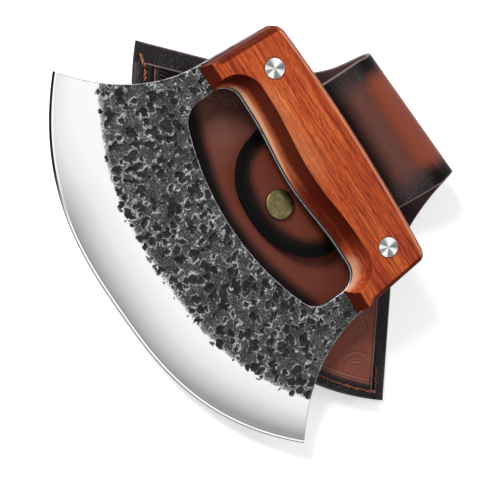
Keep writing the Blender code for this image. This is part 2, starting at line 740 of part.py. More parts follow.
def build_snap(finishes, centre, front, flap, fold):
    """Cap and socket on the tongue, stud and eyelet on the front panel."""
    flap_under = FLAP_BASE + SNAP_LIFT
    flap_top = flap_under + LEATHER
    cap_base = flap_top + SEAT_GAP
    cap = SNAP_CAP_D / 2
    stem = SNAP_POST_D / 2 + RUN_GAP
    socket_top = flap_under - SEAT_GAP
    stud_base = POUCH_TOP + SEAT_GAP
    stud_top = socket_top - SEAT_GAP
    socket_foot = stud_base + SNAP_FLANGE + SEAT_GAP
    dome = [(0, cap_base + SNAP_CAP_HEIGHT)]
    steps = 6
    for i in range(1, steps + 1):
        share = i / steps
        dome.append((cap * share ** 0.8, cap_base + SNAP_CAP_HEIGHT * (1 - 0.75 * share ** 2.4)))
    dome += [(cap, cap_base), (stem, cap_base), (stem, socket_top - SEAT_GAP / 3),
             (0, socket_top - SEAT_GAP / 3)]
    place = (centre.x, centre.y, 0)
    snap_cap = turned("snap_cap", dome, place, PARTS)

    bore = SNAP_STUD_D / 2 + RUN_GAP
    ring = SNAP_SOCKET_D / 2
    crimp = (ring - bore) * 0.35
    socket = turned("snap_socket", [
        (bore, socket_foot), (bore, socket_top), (ring - crimp, socket_top),
        (ring, socket_top - crimp / 2), (ring, socket_foot + crimp / 2),
        (ring - crimp, socket_foot), (bore, socket_foot)], place, PARTS)

    flange = SNAP_FLANGE_D / 2
    knob = SNAP_STUD_D / 2
    hole = SNAP_POST_D / 2 + RUN_GAP
    knob_top = stud_top - SEAT_GAP
    stud = turned("snap_stud", [
        (hole, stud_base), (hole, knob_top), (knob - RUN_GAP, knob_top), (knob, knob_top - RUN_GAP),
        (knob, stud_base + SNAP_FLANGE), (flange, stud_base + SNAP_FLANGE), (flange, stud_base),
        (hole, stud_base)], place, PARTS)

    recess = SNAP_FLANGE + 2 * SEAT_GAP
    post = SNAP_POST_D / 2
    eyelet_foot = PANEL_BASE + SEAT_GAP
    eyelet = turned("snap_eyelet", [
        (0, knob_top - SEAT_GAP), (post, knob_top - SEAT_GAP), (post, eyelet_foot + SNAP_FLANGE),
        (flange, eyelet_foot + SNAP_FLANGE), (flange, eyelet_foot), (0, eyelet_foot)], place, PARTS)

    front_hole = turned("eyelet_hole", [
        (0, POUCH_TOP + CUT_MARGIN), (hole, POUCH_TOP + CUT_MARGIN), (hole, PANEL_BASE + recess),
        (flange + RUN_GAP, PANEL_BASE + recess), (flange + RUN_GAP, PANEL_BASE - CUT_MARGIN),
        (0, PANEL_BASE - CUT_MARGIN)], place, CUTTERS)
    boolean(front, front_hole)
    flap_hole = turned("cap_hole", [
        (0, flap_top + CUT_MARGIN), (stem + RUN_GAP, flap_top + CUT_MARGIN),
        (stem + RUN_GAP, flap_under - CUT_MARGIN), (0, flap_under - CUT_MARGIN)], place, CUTTERS)
    boolean(flap, flap_hole)
    for piece in (snap_cap, socket, stud, eyelet):
        piece.data.materials.append(finishes["aged_brass"])
    for piece in (snap_cap, socket):
        carry(piece, fold)


def carry(piece, fold):
    """Hangs a finished piece on the fold's axis and leaves it where it is."""
    piece.parent = fold
    piece.matrix_parent_inverse = fold.matrix_world.inverted()


def main():
    finishes = {
        "forged_steel": make_material("forged_steel", (0.16, 0.16, 0.165), 0.38, 1.0),
        "handle_wood": make_material("handle_wood", (0.42, 0.09, 0.02), 0.35),
        "rivet_steel": make_material("rivet_steel", (0.62, 0.60, 0.57), 0.25, 1.0),
        "tooled_leather": make_material("tooled_leather", (0.09, 0.03, 0.022), 0.5),
        "edge_leather": make_material("edge_leather", (0.03, 0.02, 0.02), 0.6),
        "waxed_thread": make_material("waxed_thread", (0.45, 0.14, 0.04), 0.6),
        "aged_brass": make_material("aged_brass", (0.30, 0.24, 0.12), 0.35, 1.0),
    }
    tilt, y, z, palm_y = resting_place()

    fold = bpy.data.objects.new("fold_axis", None)
    fold.location = (CROWN_SHIFT, CROWN_Y, LOOP_HEIGHT)
    fold.rotation_euler = Euler((0, 0, FOLD_TURN))
    PARTS.objects.link(fold)
    bpy.context.view_layer.update()

    knife = bpy.data.objects.new("knife_frame", None)
    knife.location = (KNIFE_X, y, z)
    knife.rotation_euler = Euler((tilt, 0, KNIFE_TURN))
    PARTS.objects.link(knife)
    carry(knife, fold)
    bpy.context.view_layer.update()

    build_knife(knife, finishes)
    build_sheath(finishes, fold, palm_y)
    print(f"knife tilt {math.degrees(tilt):.2f} degrees, y {y:.4f}, z {z:.4f}, palm {palm_y:.4f}")
    print(f"pouch top {POUCH_TOP:.4f}, snap at {snap_place().x:.4f}, {snap_place().y:.4f}")


main()
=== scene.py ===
# %% [markdown]
# # An ulu knife lying on its leather sheath
# An ulu has a crescent blade whose handle runs parallel to the cutting edge, with a window for the
# fingers between them. This lesson dresses a finished set of solids: it gives the steel its hammer
# marks, the wood its grain, and the leather its tooling, its burnished edges and its stitches.
# Every length is in metres. +X runs along the handle, +Y from the cutting edge to the strap's fold,
# and +Z up from the table.

# %% Load the solids
import math

import bmesh
import bpy
import numpy as np
from mathutils import Euler, Matrix, Vector
from mathutils.geometry import delaunay_2d_cdt, interpolate_bezier
from mathutils.kdtree import KDTree


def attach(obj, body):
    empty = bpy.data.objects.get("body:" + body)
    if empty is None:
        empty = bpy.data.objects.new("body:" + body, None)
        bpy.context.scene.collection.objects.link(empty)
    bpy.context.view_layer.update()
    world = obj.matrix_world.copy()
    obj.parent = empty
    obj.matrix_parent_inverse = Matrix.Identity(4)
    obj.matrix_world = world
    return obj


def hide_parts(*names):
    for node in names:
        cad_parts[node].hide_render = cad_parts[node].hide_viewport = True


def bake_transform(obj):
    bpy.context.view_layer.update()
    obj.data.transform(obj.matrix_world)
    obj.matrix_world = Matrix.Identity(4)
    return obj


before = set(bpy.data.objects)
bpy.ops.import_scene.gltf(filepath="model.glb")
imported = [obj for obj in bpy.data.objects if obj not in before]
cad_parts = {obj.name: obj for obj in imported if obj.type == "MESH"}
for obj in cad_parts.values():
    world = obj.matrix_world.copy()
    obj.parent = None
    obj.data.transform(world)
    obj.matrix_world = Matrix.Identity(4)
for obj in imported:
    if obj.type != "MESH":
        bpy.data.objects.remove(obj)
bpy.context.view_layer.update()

# %% [markdown]
# ## Helpers for node trees
# Shader trees and Geometry Nodes trees are both made of nodes whose inputs are either a number or
# a link. One small function that takes both keeps the recipes below short enough to read.

# %% Node helpers
def node(tree, kind, feeds=None, out=0, **settings):
    """Adds a node, feeds its inputs by name or number, and returns one of its outputs."""
    made = tree.nodes.new(kind)
    for name, value in settings.items():
        setattr(made, name, value)
    for key, value in (feeds or {}).items():
        socket = made.inputs[key]
        if isinstance(value, bpy.types.NodeSocket):
            tree.links.new(value, socket)
        else:
            socket.default_value = value
    return made.outputs[out]


def calc(tree, operation, *values, clamp=False):
    """One step of arithmetic."""
    return node(tree, "ShaderNodeMath", dict(enumerate(values)),
                operation=operation, use_clamp=clamp)


def fade(tree, value, start, end, low=0.0, high=1.0):
    """A smooth step from low at start to high at end."""
    return node(tree, "ShaderNodeMapRange",
                {"Value": value, "From Min": start, "From Max": end,
                 "To Min": low, "To Max": high}, interpolation_type='SMOOTHSTEP')


def vector(tree, operation, first, second=None, out=0):
    """One step of arithmetic on vectors. SCALE takes a number as its second value."""
    feeds = {0: first}
    if second is not None:
        feeds["Scale" if operation == 'SCALE' else 1] = second
    return node(tree, "ShaderNodeVectorMath", feeds, out=out, operation=operation)


def split(tree, value):
    """The three numbers of a vector."""
    return node(tree, "ShaderNodeSeparateXYZ", {0: value}).node.outputs


def product(tree, *values):
    """Values multiplied by one another."""
    result = values[0]
    for value in values[1:]:
        result = calc(tree, 'MULTIPLY', result, value)
    return result


def weighed(tree, *parts):
    """Patterns added up by weight, from (pattern, weight) pairs."""
    result = None
    for pattern, weight in parts:
        part = calc(tree, 'MULTIPLY', pattern, weight)
        result = part if result is None else calc(tree, 'ADD', result, part)
    return result


# %% Colours in a tree
def ramp(tree, value, stops):
    """A colour ramp from (position, (r, g, b)) stops."""
    colour = node(tree, "ShaderNodeValToRGB", {0: value})
    band = colour.node.color_ramp
    while len(band.elements) < len(stops):
        band.elements.new(0.5)
    for element, (position, rgb) in zip(band.elements, stops):
        element.position = position
        element.color = (*rgb, 1)
    return colour


def mix(tree, share, first, second):
    """Two colours mixed."""
    return node(tree, "ShaderNodeMix", {0: share, 6: first, 7: second}, out=2, data_type='RGBA')


def mix_value(tree, share, first, second):
    """Two numbers mixed."""
    return node(tree, "ShaderNodeMix", {0: share, 2: first, 3: second}, out=0, data_type='FLOAT')


# %% Materials and objects
def new_material(name):
    """An empty material and its tree."""
    material = bpy.data.materials.new(name)
    material.use_nodes = True
    material.node_tree.nodes.clear()
    return material, material.node_tree


def close_material(tree, surface):
    """Ends a material in a shader."""
    end = tree.nodes.new("ShaderNodeOutputMaterial")
    tree.links.new(surface, end.inputs["Surface"])


def surfaced(material, tree, feeds):
    """Ends a material in one Principled shader and returns it."""
    close_material(tree, node(tree, "ShaderNodeBsdfPrincipled", feeds))
    print(material.name, len(tree.nodes), "nodes")
    return material


def put(name, data):
    """A new object in the scene."""
    thing = bpy.data.objects.new(name, data)
    bpy.context.scene.collection.objects.link(thing)
    return thing


# %% Places and patterns
def placed(tree):
    """Where a point of the surface is, in metres."""
    return node(tree, "ShaderNodeTexCoord", out=3)


def stretched(tree, place, scale):
    """A place with its axes scaled, which stretches the pattern that reads it."""
    return vector(tree, 'MULTIPLY', place, scale)


def noise(tree, place, scale, detail=2.0, roughness=0.5, out=0):
    """A cloudy pattern. Its output 0 is one number and its output 1 is three."""
    return node(tree, "ShaderNodeTexNoise",
                {"Vector": place, "Scale": scale, "Detail": detail, "Roughness": roughness}, out=out)


def attribute(tree, name):
    """A value that the mesh carries at each point."""
    return node(tree, "ShaderNodeAttribute", out=2, attribute_name=name)


def bump(tree, height, depth, strength=1.0):
    """A surface direction from a pattern that stands for fine relief."""
    return node(tree, "ShaderNodeBump", {"Height": height, "Distance": depth, "Strength": strength})


print("helpers ready")


# %% [markdown]
# ## The camera
# A camera can be placed by eye, but then every later comparison drifts. This one was fitted to the
# flat outlines of the knife and sheath, and is written down as three axes and a place. A long lens,
# about 107 mm, keeps the far end of the blade nearly as large as the near end.

# %% Camera
CAMERA_PLACE = Vector((-0.137242306, -0.238513052, 0.551235166))
CAMERA_RIGHT = Vector((0.554257450, 0.713106085, 0.429276569))
CAMERA_UP = Vector((-0.802277436, 0.595071822, 0.047332981))
CAMERA_BACK = Vector((-0.221696949, -0.370633591, 0.901931917))
FOCAL_IN_PIXELS, PIXELS, SENSOR = 1428.98074, 480, 36

lens = bpy.data.cameras.new("camera")
lens.sensor_width = SENSOR
lens.lens = FOCAL_IN_PIXELS / PIXELS * SENSOR
lens.clip_start = 0.01
camera = put("camera", lens)
axes = Matrix((CAMERA_RIGHT, CAMERA_UP, CAMERA_BACK)).transposed()
camera.matrix_world = Matrix.Translation(CAMERA_PLACE) @ axes.to_4x4()
bpy.context.scene.camera = camera
print(f"lens {lens.lens:.1f} mm")

# %% [markdown]
# ## The table and the light
# The knife is shown on white with one soft shadow. A big soft lamp on the left does most of the
# work, a long one behind draws the highlights on wood and leather, and a pale world fills the rest.
# The table is pale in its own right, and for the camera and for reflections it also gives off a
# little light, which lifts it to white without lighting the knife.

# %% Table
TABLE_WHITE, TABLE_SPECKLE = 0.86, 0.006
TABLE_GLOW = 0.46
TABLE_HALF, TABLE_DROP = 3.0, 0.0002


def seen_directly(tree):
    """1 for camera, glossy and transmission rays, and 0 for the rays that carry light."""
    rays = tree.nodes.new("ShaderNodeLightPath").outputs
    mirrored_rays = calc(tree, 'MAXIMUM', rays["Is Glossy Ray"], rays["Is Transmission Ray"])
    return calc(tree, 'MAXIMUM', rays["Is Camera Ray"], mirrored_rays)


table_paint, tree = new_material("table_white")
speckle = noise(tree, placed(tree), 40.0, 4.0)
white = fade(tree, speckle, 0.0, 1.0, TABLE_WHITE - TABLE_SPECKLE, TABLE_WHITE + TABLE_SPECKLE)
matt = node(tree, "ShaderNodeBsdfDiffuse",
            {"Color": node(tree, "ShaderNodeCombineColor", {0: white, 1: white, 2: white})})
glow = node(tree, "ShaderNodeEmission",
            {"Color": (1, 1, 1, 1), "Strength": product(tree, seen_directly(tree), TABLE_GLOW)})
close_material(tree, node(tree, "ShaderNodeAddShader", {0: matt, 1: glow}))

table_mesh = bpy.data.meshes.new("table")
corners = [(x * TABLE_HALF, y * TABLE_HALF, -TABLE_DROP) for x, y in ((-1, -1), (1, -1), (1, 1), (-1, 1))]
table_mesh.from_pydata(corners, [], [(0, 1, 2, 3)])
table_mesh.materials.append(table_paint)
table = put("table", table_mesh)
print("table", 2 * TABLE_HALF, "m square")

# %% World and lamps
WORLD_FILL, FILL_LOW, FILL_HIGH = 0.41, 0.72, 1.1

world = bpy.data.worlds.new("pale_room")
world.use_nodes = True
tree = world.node_tree
tree.nodes.clear()
up = split(tree, node(tree, "ShaderNodeTexCoord", out=0))[2]
fill = fade(tree, up, -0.1, 0.9, WORLD_FILL * FILL_LOW, WORLD_FILL * FILL_HIGH)
strength = mix_value(tree, seen_directly(tree), fill, 1.0)
background = node(tree, "ShaderNodeBackground", {"Color": (1, 1, 1, 1), "Strength": strength})
end = tree.nodes.new("ShaderNodeOutputWorld")
tree.links.new(background, end.inputs["Surface"])
bpy.context.scene.world = world


def soft_lamp(name, place, target, size, power):
    """A rectangular lamp that faces its target."""
    lamp = bpy.data.lights.new(name, 'AREA')
    lamp.shape = 'RECTANGLE'
    lamp.size, lamp.size_y = size
    lamp.energy = power
    thing = put(name, lamp)
    thing.location = place
    thing.rotation_euler = (Vector(target) - Vector(place)).to_track_quat('-Z', 'Y').to_euler()


soft_lamp("lamp_left", place=(-0.76, -0.14, 0.54), target=(0, 0.02, 0), size=(0.30, 0.30), power=8.4)
soft_lamp("lamp_behind", place=(0.25, 0.75, 0.55), target=(0, 0.03, 0), size=(0.7, 0.2), power=1.4)
bpy.context.scene.view_settings.view_transform = 'Standard'

# %% [markdown]
# ## Sheets with fine triangles
# Both the blade and the leather are sheets whose relief is real: hammer marks, tooled lines, soft
# edges. A sheet could be a subdivided plate, but its outline would then be ragged. Here the outline
# is kept exactly, rows of points follow it inwards, an even field of points fills the middle, and
# one triangulation joins them. Each point remembers how far it is from the edge.

# %% Outline helpers
TINY = 1e-6


def resampled(line, spacing, closed=True):
    """Points at an even spacing along a line."""
    line = np.asarray(line, float)
    if closed:
        line = np.vstack([line, line[:1]])
    steps = np.hypot(*np.diff(line, axis=0).T)
    reach = np.concatenate([[0], np.cumsum(steps)])
    kept = [0]
    for i in range(1, len(line)):
        span = reach[i] - reach[kept[-1]]
        if span > 0.25 * spacing or i == len(line) - 1:
            kept.append(i)
    out = []
    for a, b in zip(kept, kept[1:]):
        count = max(1, int(round((reach[b] - reach[a]) / spacing)))
        for j in range(count):
            out.append(line[a] + (line[b] - line[a]) * j / count)
    if not closed:
        out.append(line[-1])
    return np.array(out)


def smooth(value, start, end):
    """A smooth step from 0 at start to 1 at end."""
    share = np.clip((value - start) / (end - start), 0, 1)
    return share * share * (3 - 2 * share)


# %% Distances and fields of points
def nearest_on(points, line):
    """Each point's distance to a line, and how far along the line its nearest point lies."""
    tree = KDTree(len(line))
    for i, (x, y) in enumerate(line.tolist()):
        tree.insert((x, y, 0), i)
    tree.balance()
    nearest = np.array([tree.find((x, y, 0))[1] for x, y in points.tolist()], int)
    reach = np.concatenate([[0], np.cumsum(np.hypot(*np.diff(line, axis=0).T))])
    best, station = np.full(len(points), 1e9), np.zeros(len(points))
    for first in (np.maximum(nearest - 1, 0), np.minimum(nearest, len(line) - 2)):
        a, run = line[first], line[first + 1] - line[first]
        square = np.maximum((run ** 2).sum(1), 1e-18)
        share = np.clip(((points - a) * run).sum(1) / square, 0, 1)
        gap = np.hypot(*(points - a - share[:, None] * run).T)
        station = np.where(gap < best, reach[first] + share * np.sqrt(square), station)
        best = np.minimum(best, gap)
    return best, station


def edge_distance(points, lines):
    """Each point's distance to the nearest of some lines, each an array of joined points."""
    return np.min([nearest_on(points, line)[0] for line in lines], axis=0)


def inside(points, loops):
    """Which points lie inside the outlines, holes left out."""
    odd = np.zeros(len(points), bool)
    for loop in loops:
        a, b = loop, np.roll(loop, -1, axis=0)
        for (ax, ay), (bx, by) in zip(a, b):
            if ay != by:
                crosses = ((ay > points[:, 1]) != (by > points[:, 1]))
                x = ax + (points[:, 1] - ay) * (bx - ax) / (by - ay)
                odd ^= crosses & (points[:, 0] < x)
    return odd


def ring(loop):
    """A closed outline as a line that runs one point past its start."""
    return np.vstack([loop[-1:], loop, loop[:1]])


def hex_field(low, high, spacing):
    """An even field of points."""
    grid = np.stack(np.meshgrid(np.arange(low[0], high[0], spacing),
                                np.arange(low[1], high[1], spacing * math.sqrt(3) / 2)), 2)
    grid[1::2, :, 0] += spacing / 2
    return grid.reshape(-1, 2)


# %% The plan of a sheet
def plan_of(loops, spacing, rows=(), fine=None):
    """Points and triangles that fill the outlines, with rows of points beside every edge.
    fine is a finer spacing and the function that says where it holds."""
    loops = [resampled(loop, spacing * 0.8) for loop in loops]
    lines = [ring(loop) for loop in loops]
    points = list(loops)
    for depth in rows:
        for loop in loops:
            ahead = np.roll(loop, -1, axis=0) - np.roll(loop, 1, axis=0)
            normal = np.stack([-ahead[:, 1], ahead[:, 0]], 1)
            normal /= np.maximum(np.hypot(*normal.T), 1e-12)[:, None]
            for side in (1, -1):
                row = loop + normal * depth * side
                row = row[inside(row, loops)]
                if len(row):
                    points.append(row[edge_distance(row, lines) > depth * 0.93])
    field = hex_field(loops[0].min(0), loops[0].max(0), spacing)
    if fine:
        closer = hex_field(loops[0].min(0), loops[0].max(0), fine[0])
        field = np.vstack([field[~fine[1](field)], closer[fine[1](closer)]])
    field = field[inside(field, loops)]
    margin = (max(rows) if rows else 0) + spacing * 0.5
    points.append(field[edge_distance(field, lines) > margin])
    edges, start = [], 0
    for loop in loops:
        count = len(loop)
        edges += [(start + i, start + (i + 1) % count) for i in range(count)]
        start += count
    cloud = [Vector(p) for p in np.vstack(points)]
    found, _, faces, *_ = delaunay_2d_cdt(cloud, edges, [], 1, 1e-7, False)
    found = np.array([tuple(p) for p in found])
    faces = np.array([f for f in faces if len(f) == 3])
    faces = faces[inside(found[faces].mean(1), loops)]
    return found, faces, lines


# %% A closed sheet from its plan
def store(mesh, name, values):
    """Keeps a value at every point of a mesh."""
    layer = mesh.attributes.get(name) or mesh.attributes.new(name, 'FLOAT', 'POINT')
    layer.data.foreach_set("value", np.asarray(values, np.float32))


def smoothed(mesh, sharp):
    """Smooth shading that stays crisp where a mesh turns by more than this many degrees."""
    mesh.shade_smooth()
    mesh.set_sharp_from_angle(angle=math.radians(sharp))


def two_faced(name, plan, place, attributes=(), edges=None, sharp=40):
    """A closed sheet: the same triangles on both faces, joined by a wall round every outline.
    place(points, depth, side) gives the points of one face, and depth is the way from the edge."""
    points, faces, lines = plan
    depth = edge_distance(points, edges or lines)
    used = np.unique(faces)
    renumber = -np.ones(len(points), int)
    renumber[used] = np.arange(len(used))
    points, depth, faces = points[used], depth[used], renumber[faces]
    a, b, c = (points[faces[:, i]] for i in range(3))
    area = (b - a)[:, 0] * (c - a)[:, 1] - (b - a)[:, 1] * (c - a)[:, 0]
    faces[area < 0] = faces[area < 0][:, ::-1]
    count = len(points)
    upper, lower = place(points, depth, 1), place(points, depth, -1)
    halves = np.vstack([faces[:, [0, 1]], faces[:, [1, 2]], faces[:, [2, 0]]])
    known = set(map(tuple, halves))
    wall = [(i, j) for i, j in known if (j, i) not in known]
    polygons = [tuple(f) for f in faces] + [tuple(f[::-1] + count) for f in faces]
    polygons += [(j, i, i + count, j + count) for i, j in wall]
    mesh = bpy.data.meshes.new(name)
    mesh.from_pydata(np.vstack([upper, lower]).tolist(), [], [list(map(int, f)) for f in polygons])
    mesh.validate()
    smoothed(mesh, sharp)
    both = np.concatenate([depth, depth])
    side = np.concatenate([np.ones(count), -np.ones(count)])
    store(mesh, "edge_distance", both)
    store(mesh, "side", side)
    for label in ("bloom", "pebble", "flesh", "rubbed", "worn"):
        store(mesh, label, both * 0)
    for label, values in attributes:
        store(mesh, label, values(np.vstack([points, points]), both, side))
    print(name, len(mesh.polygons), "faces")
    return put(name, mesh)


# %% [markdown]
# ## The blade's outline
# The steel is one plate: the cutting arc, two hollow horns, the neck, and a tang that fills the
# handle's middle. The finger window is cut through it. The curves are those of the solid, with
# more points on them.

# %% Blade outline
BLADE_WIDTH, BLADE_SAG, ARC_POWER = 0.189, 0.033, 2.7
HALF_STEEL = 0.0014
NECK_HALF, NECK_Y = 0.0633, 0.052
HANDLE_LENGTH, PALM_Y, PALM_CROWN, PALM_CORNER_R = 0.1205, 0.0907, 0.0022, 0.0035
CROWN_MARGIN = 0.0004
WINDOW_HALF, WINDOW_FLOOR_Y, WINDOW_FLOOR_RISE, WINDOW_CORNER_R = 0.051, 0.0253, 0.0105, 0.007
FINGER_Y, FINGER_SWELL, FINGER_SWELL_REACH, TANG_PROUD = 0.0598, 0.0025, 0.035, 0.001
ARM_CORNER_R = 0.0085
KNIFE_PLACE = Vector((-0.012, -0.042729359, 0.009183032))
KNIFE_TURN = Euler((0.161854759, 0, -0.020943951))
KNIFE = Matrix.Translation(KNIFE_PLACE) @ KNIFE_TURN.to_matrix().to_4x4()
print(f"blade {BLADE_WIDTH * 1000:.0f} mm from tip to tip, tilted {math.degrees(KNIFE_TURN.x):.1f} degrees")


# %% Curves of the outlines
def in_knife(tree):
    """A point's place in the knife's own frame, where the handle runs along X."""
    return node(tree, "ShaderNodeMapping",
                {"Vector": placed(tree), "Location": tuple(KNIFE_PLACE),
                 "Rotation": tuple(KNIFE_TURN), "Scale": (1, 1, 1)}, vector_type='TEXTURE')


def arc_line(half_width, sag, inset, reach, steps=120):
    """The cutting arc moved inwards, from x = -reach to x = reach."""
    x = np.linspace(-reach, reach, steps + 1)
    share = np.abs(x) / half_width
    y = sag * (share ** ARC_POWER - 1)
    slope = np.sign(x) * sag * ARC_POWER / half_width * share ** (ARC_POWER - 1)
    size = np.hypot(slope, 1)
    return np.stack([x - slope / size * inset, y + inset / size], 1)


def bezier(a, b, c, d, steps):
    """Points of a curve from a to d, drawn towards b and c."""
    return [tuple(p.to_2d()) for p in interpolate_bezier(
        *(Vector((*p, 0)) for p in (a, b, c, d)), steps)]


def corner_arc(before, corner, after, radius, steps=10):
    """Points that round the corner between two straight runs."""
    before, corner, after = Vector(before), Vector(corner), Vector(after)
    to_before, to_after = before - corner, after - corner
    radius = min(radius, 0.8 * to_before.length, 0.8 * to_after.length)
    start = corner + to_before.normalized() * radius
    end = corner + to_after.normalized() * radius
    return bezier(start, start.lerp(corner, 0.56), end.lerp(corner, 0.56), end, steps)


def mirrored(half):
    """A closed outline from its right half, which runs from the top centre to the bottom centre."""
    return half + [(-x, y) for x, y in reversed(half) if x > TINY]


def finger_line(half_width, top, corner_r, steps=24, turn=14):
    """Right half of the finger edge, from mid-length out and round into the arm's inner side."""
    line = []
    corner_x = half_width - corner_r
    for i in range(steps + 1):
        x = corner_x * i / steps
        swell = 0.0
        if x < FINGER_SWELL_REACH:
            swell = FINGER_SWELL * (1 + math.cos(math.pi * x / FINGER_SWELL_REACH)) / 2
        line.append((x, top - swell))
    for i in range(1, turn + 1):
        angle = math.radians(90) * i / turn
        line.append((corner_x + corner_r * math.sin(angle), top - corner_r * (1 - math.cos(angle))))
    return line


def palm_line(end_x, palm, steps=20):
    """Right half of the slightly crowned palm edge."""
    reach = end_x - PALM_CORNER_R
    return [(reach * i / steps, palm - PALM_CROWN * (reach * i / steps / end_x) ** 2)
            for i in range(steps + 1)]


# %% The plate's plan
def steel_outline():
    """The plate's outer edge."""
    end_x, shoulder = HANDLE_LENGTH / 2, PALM_Y - PALM_CROWN
    half = palm_line(end_x, PALM_Y)
    half += corner_arc((0, shoulder), (end_x, shoulder), (NECK_HALF, NECK_Y), PALM_CORNER_R)[1:]
    drop = BLADE_WIDTH / 2 - NECK_HALF
    half += bezier((NECK_HALF, NECK_Y), (NECK_HALF + 0.055 * drop, NECK_Y * 0.58),
                   (NECK_HALF + 0.455 * drop, NECK_Y * 0.24), (BLADE_WIDTH / 2, 0), 40)
    edge = arc_line(BLADE_WIDTH / 2, BLADE_SAG, 0, BLADE_WIDTH / 2)
    half += [tuple(p) for p in edge[len(edge) // 2:-1][::-1]]
    return mirrored(half)


def window_outline():
    """The finger window's edge."""
    half = finger_line(WINDOW_HALF, FINGER_Y - TANG_PROUD, ARM_CORNER_R)
    foot = (WINDOW_HALF, WINDOW_FLOOR_Y + WINDOW_FLOOR_RISE)
    inner = (WINDOW_HALF * 0.75, WINDOW_FLOOR_Y + WINDOW_FLOOR_RISE * 0.75 ** 2)
    half += corner_arc((WINDOW_HALF, FINGER_Y), foot, inner, WINDOW_CORNER_R)
    for i in range(20, -1, -1):
        share = 0.75 * i / 20
        half.append((WINDOW_HALF * share, WINDOW_FLOOR_Y + WINDOW_FLOOR_RISE * share ** 2))
    return mirrored(half)


BLADE_SPACING, BLADE_ROWS = 0.00058, (0.0003,)
blade_plan = plan_of([steel_outline(), window_outline()], BLADE_SPACING, rows=BLADE_ROWS)
print("blade plan", len(blade_plan[0]), "points")

# %% [markdown]
# ## The ground band and the hammered face
# A smith hammers and blackens the plate first and grinds the bevel last, so the bevel is a plane
# that cuts the pits away where it is lower than they are, and leaves the deepest ones as islands.
# The recipe does the same. Each point knows how high the ground plane lets it stand. Geometry
# Nodes then beat the face: a warped cell pattern gives the pits, their rims and the grain between.
# The lower of the two heights wins, and the steel's material works out again which one it was.

# %% Ground heights
KEEN_WIDTH, KEEN_HALF, EDGE_HALF = 0.0012, 0.0004, 0.00015
BAND_MIDDLE, BAND_LOSS = 0.0245, 0.0085
SHOULDER_AT, SHOULDER_HALF = 0.80, 0.00112
BESIDE_BAND, BACK_FROM_EDGE = 0.00150, 0.002
ARRIS, ARRIS_SLOPE = 0.00022, 0.9
HAMMER_FADE = 0.004

arc_edge = arc_line(BLADE_WIDTH / 2, BLADE_SAG, 0, BLADE_WIDTH / 2 * 1.08, 400)


def ground_heights(points, depth):
    """How high over the plate's middle each point may stand, and how far across the band it is."""
    inset = edge_distance(points, [arc_edge])
    width = BAND_MIDDLE - BAND_LOSS * np.minimum(np.abs(points[:, 0]) / (BLADE_WIDTH / 2), 1) ** 4
    share = (inset - KEEN_WIDTH) / (width - KEEN_WIDTH)
    height = np.interp(share, [0, SHOULDER_AT, 1, 1.15], [KEEN_HALF, SHOULDER_HALF, BESIDE_BAND, 0.0018])
    keen = EDGE_HALF + (KEEN_HALF - EDGE_HALF) * inset / KEEN_WIDTH
    height = np.where(inset < KEEN_WIDTH, keen, height)
    arris = HALF_STEEL - ARRIS + depth * ARRIS_SLOPE
    return np.minimum(height, np.where(inset > BACK_FROM_EDGE, arris, 1)), share


def hammered_share(points, depth, side):
    """How deep the marks are: none in the band or on the tang, and shallow beside an edge."""
    below_neck = np.clip((NECK_Y + HAMMER_FADE - points[:, 1]) / HAMMER_FADE, 0, 1)
    off_band = np.clip((ground_heights(points, depth)[1] - 0.76) / 0.22, 0, 1)
    return below_neck * off_band * (0.15 + 0.85 * np.clip((depth - 0.0003) / 0.0009, 0, 1))


def blade_face(points, depth, side):
    """One face of the plate, flat but for the ground band and the eased edges."""
    height, _ = ground_heights(points, depth)
    return np.column_stack([points, side * np.minimum(height, HALF_STEEL)])


blade = two_faced("hammered_blade", blade_plan, blade_face, [
    ("ground_height", lambda p, d, s: ground_heights(p, d)[0]),
    ("across_band", lambda p, d, s: ground_heights(p, d)[1]),
    ("inset", lambda p, d, s: edge_distance(p, [arc_edge])),
    ("hammered", hammered_share),
])

# %% [markdown]
# ## Recipes made of Geometry Nodes
# A recipe is a tree with named sizes. It runs once, its result is kept as a plain mesh, and the
# modifier goes. That way every piece ends as an ordinary mesh, and the sizes
# can still be changed in one line.

# %% Recipe helpers
def new_recipe(name, inputs):
    """A Geometry Nodes tree with named inputs, and its group input's outputs."""
    tree = bpy.data.node_groups.new(name, 'GeometryNodeTree')
    tree.interface.new_socket("Geometry", in_out='INPUT', socket_type='NodeSocketGeometry')
    tree.interface.new_socket("Geometry", in_out='OUTPUT', socket_type='NodeSocketGeometry')
    for label, kind in inputs:
        tree.interface.new_socket(label, in_out='INPUT', socket_type=kind)
    return tree, tree.nodes.new("NodeGroupInput").outputs


def finish_recipe(tree, geometry, material):
    """Realizes instances, sets the material and ends the tree."""
    real = node(tree, "GeometryNodeRealizeInstances", {0: geometry})
    painted = node(tree, "GeometryNodeSetMaterial", {"Geometry": real, "Material": material})
    end = tree.nodes.new("NodeGroupOutput")
    tree.links.new(painted, end.inputs[0])


def baked(thing, tree, values):
    """Runs the tree on a piece and keeps the result as its plain mesh."""
    step = thing.modifiers.new(tree.name, 'NODES')
    step.node_group = tree
    for item in tree.interface.items_tree:
        if item.in_out == 'INPUT' and item.name in values:
            step[item.identifier] = values[item.name]
    bpy.context.view_layer.update()
    evaluated = thing.evaluated_get(bpy.context.evaluated_depsgraph_get())
    mesh = bpy.data.meshes.new_from_object(evaluated)
    mesh.name = thing.name
    thing.modifiers.clear()
    if thing.type == 'MESH':
        thing.data = mesh
        return thing
    name = thing.name
    bpy.data.objects.remove(thing, do_unlink=True)
    return put(name, mesh)


def named(tree, name):
    """A value that the mesh carries, for a recipe."""
    return node(tree, "GeometryNodeInputNamedAttribute", {"Name": name}, data_type='FLOAT')


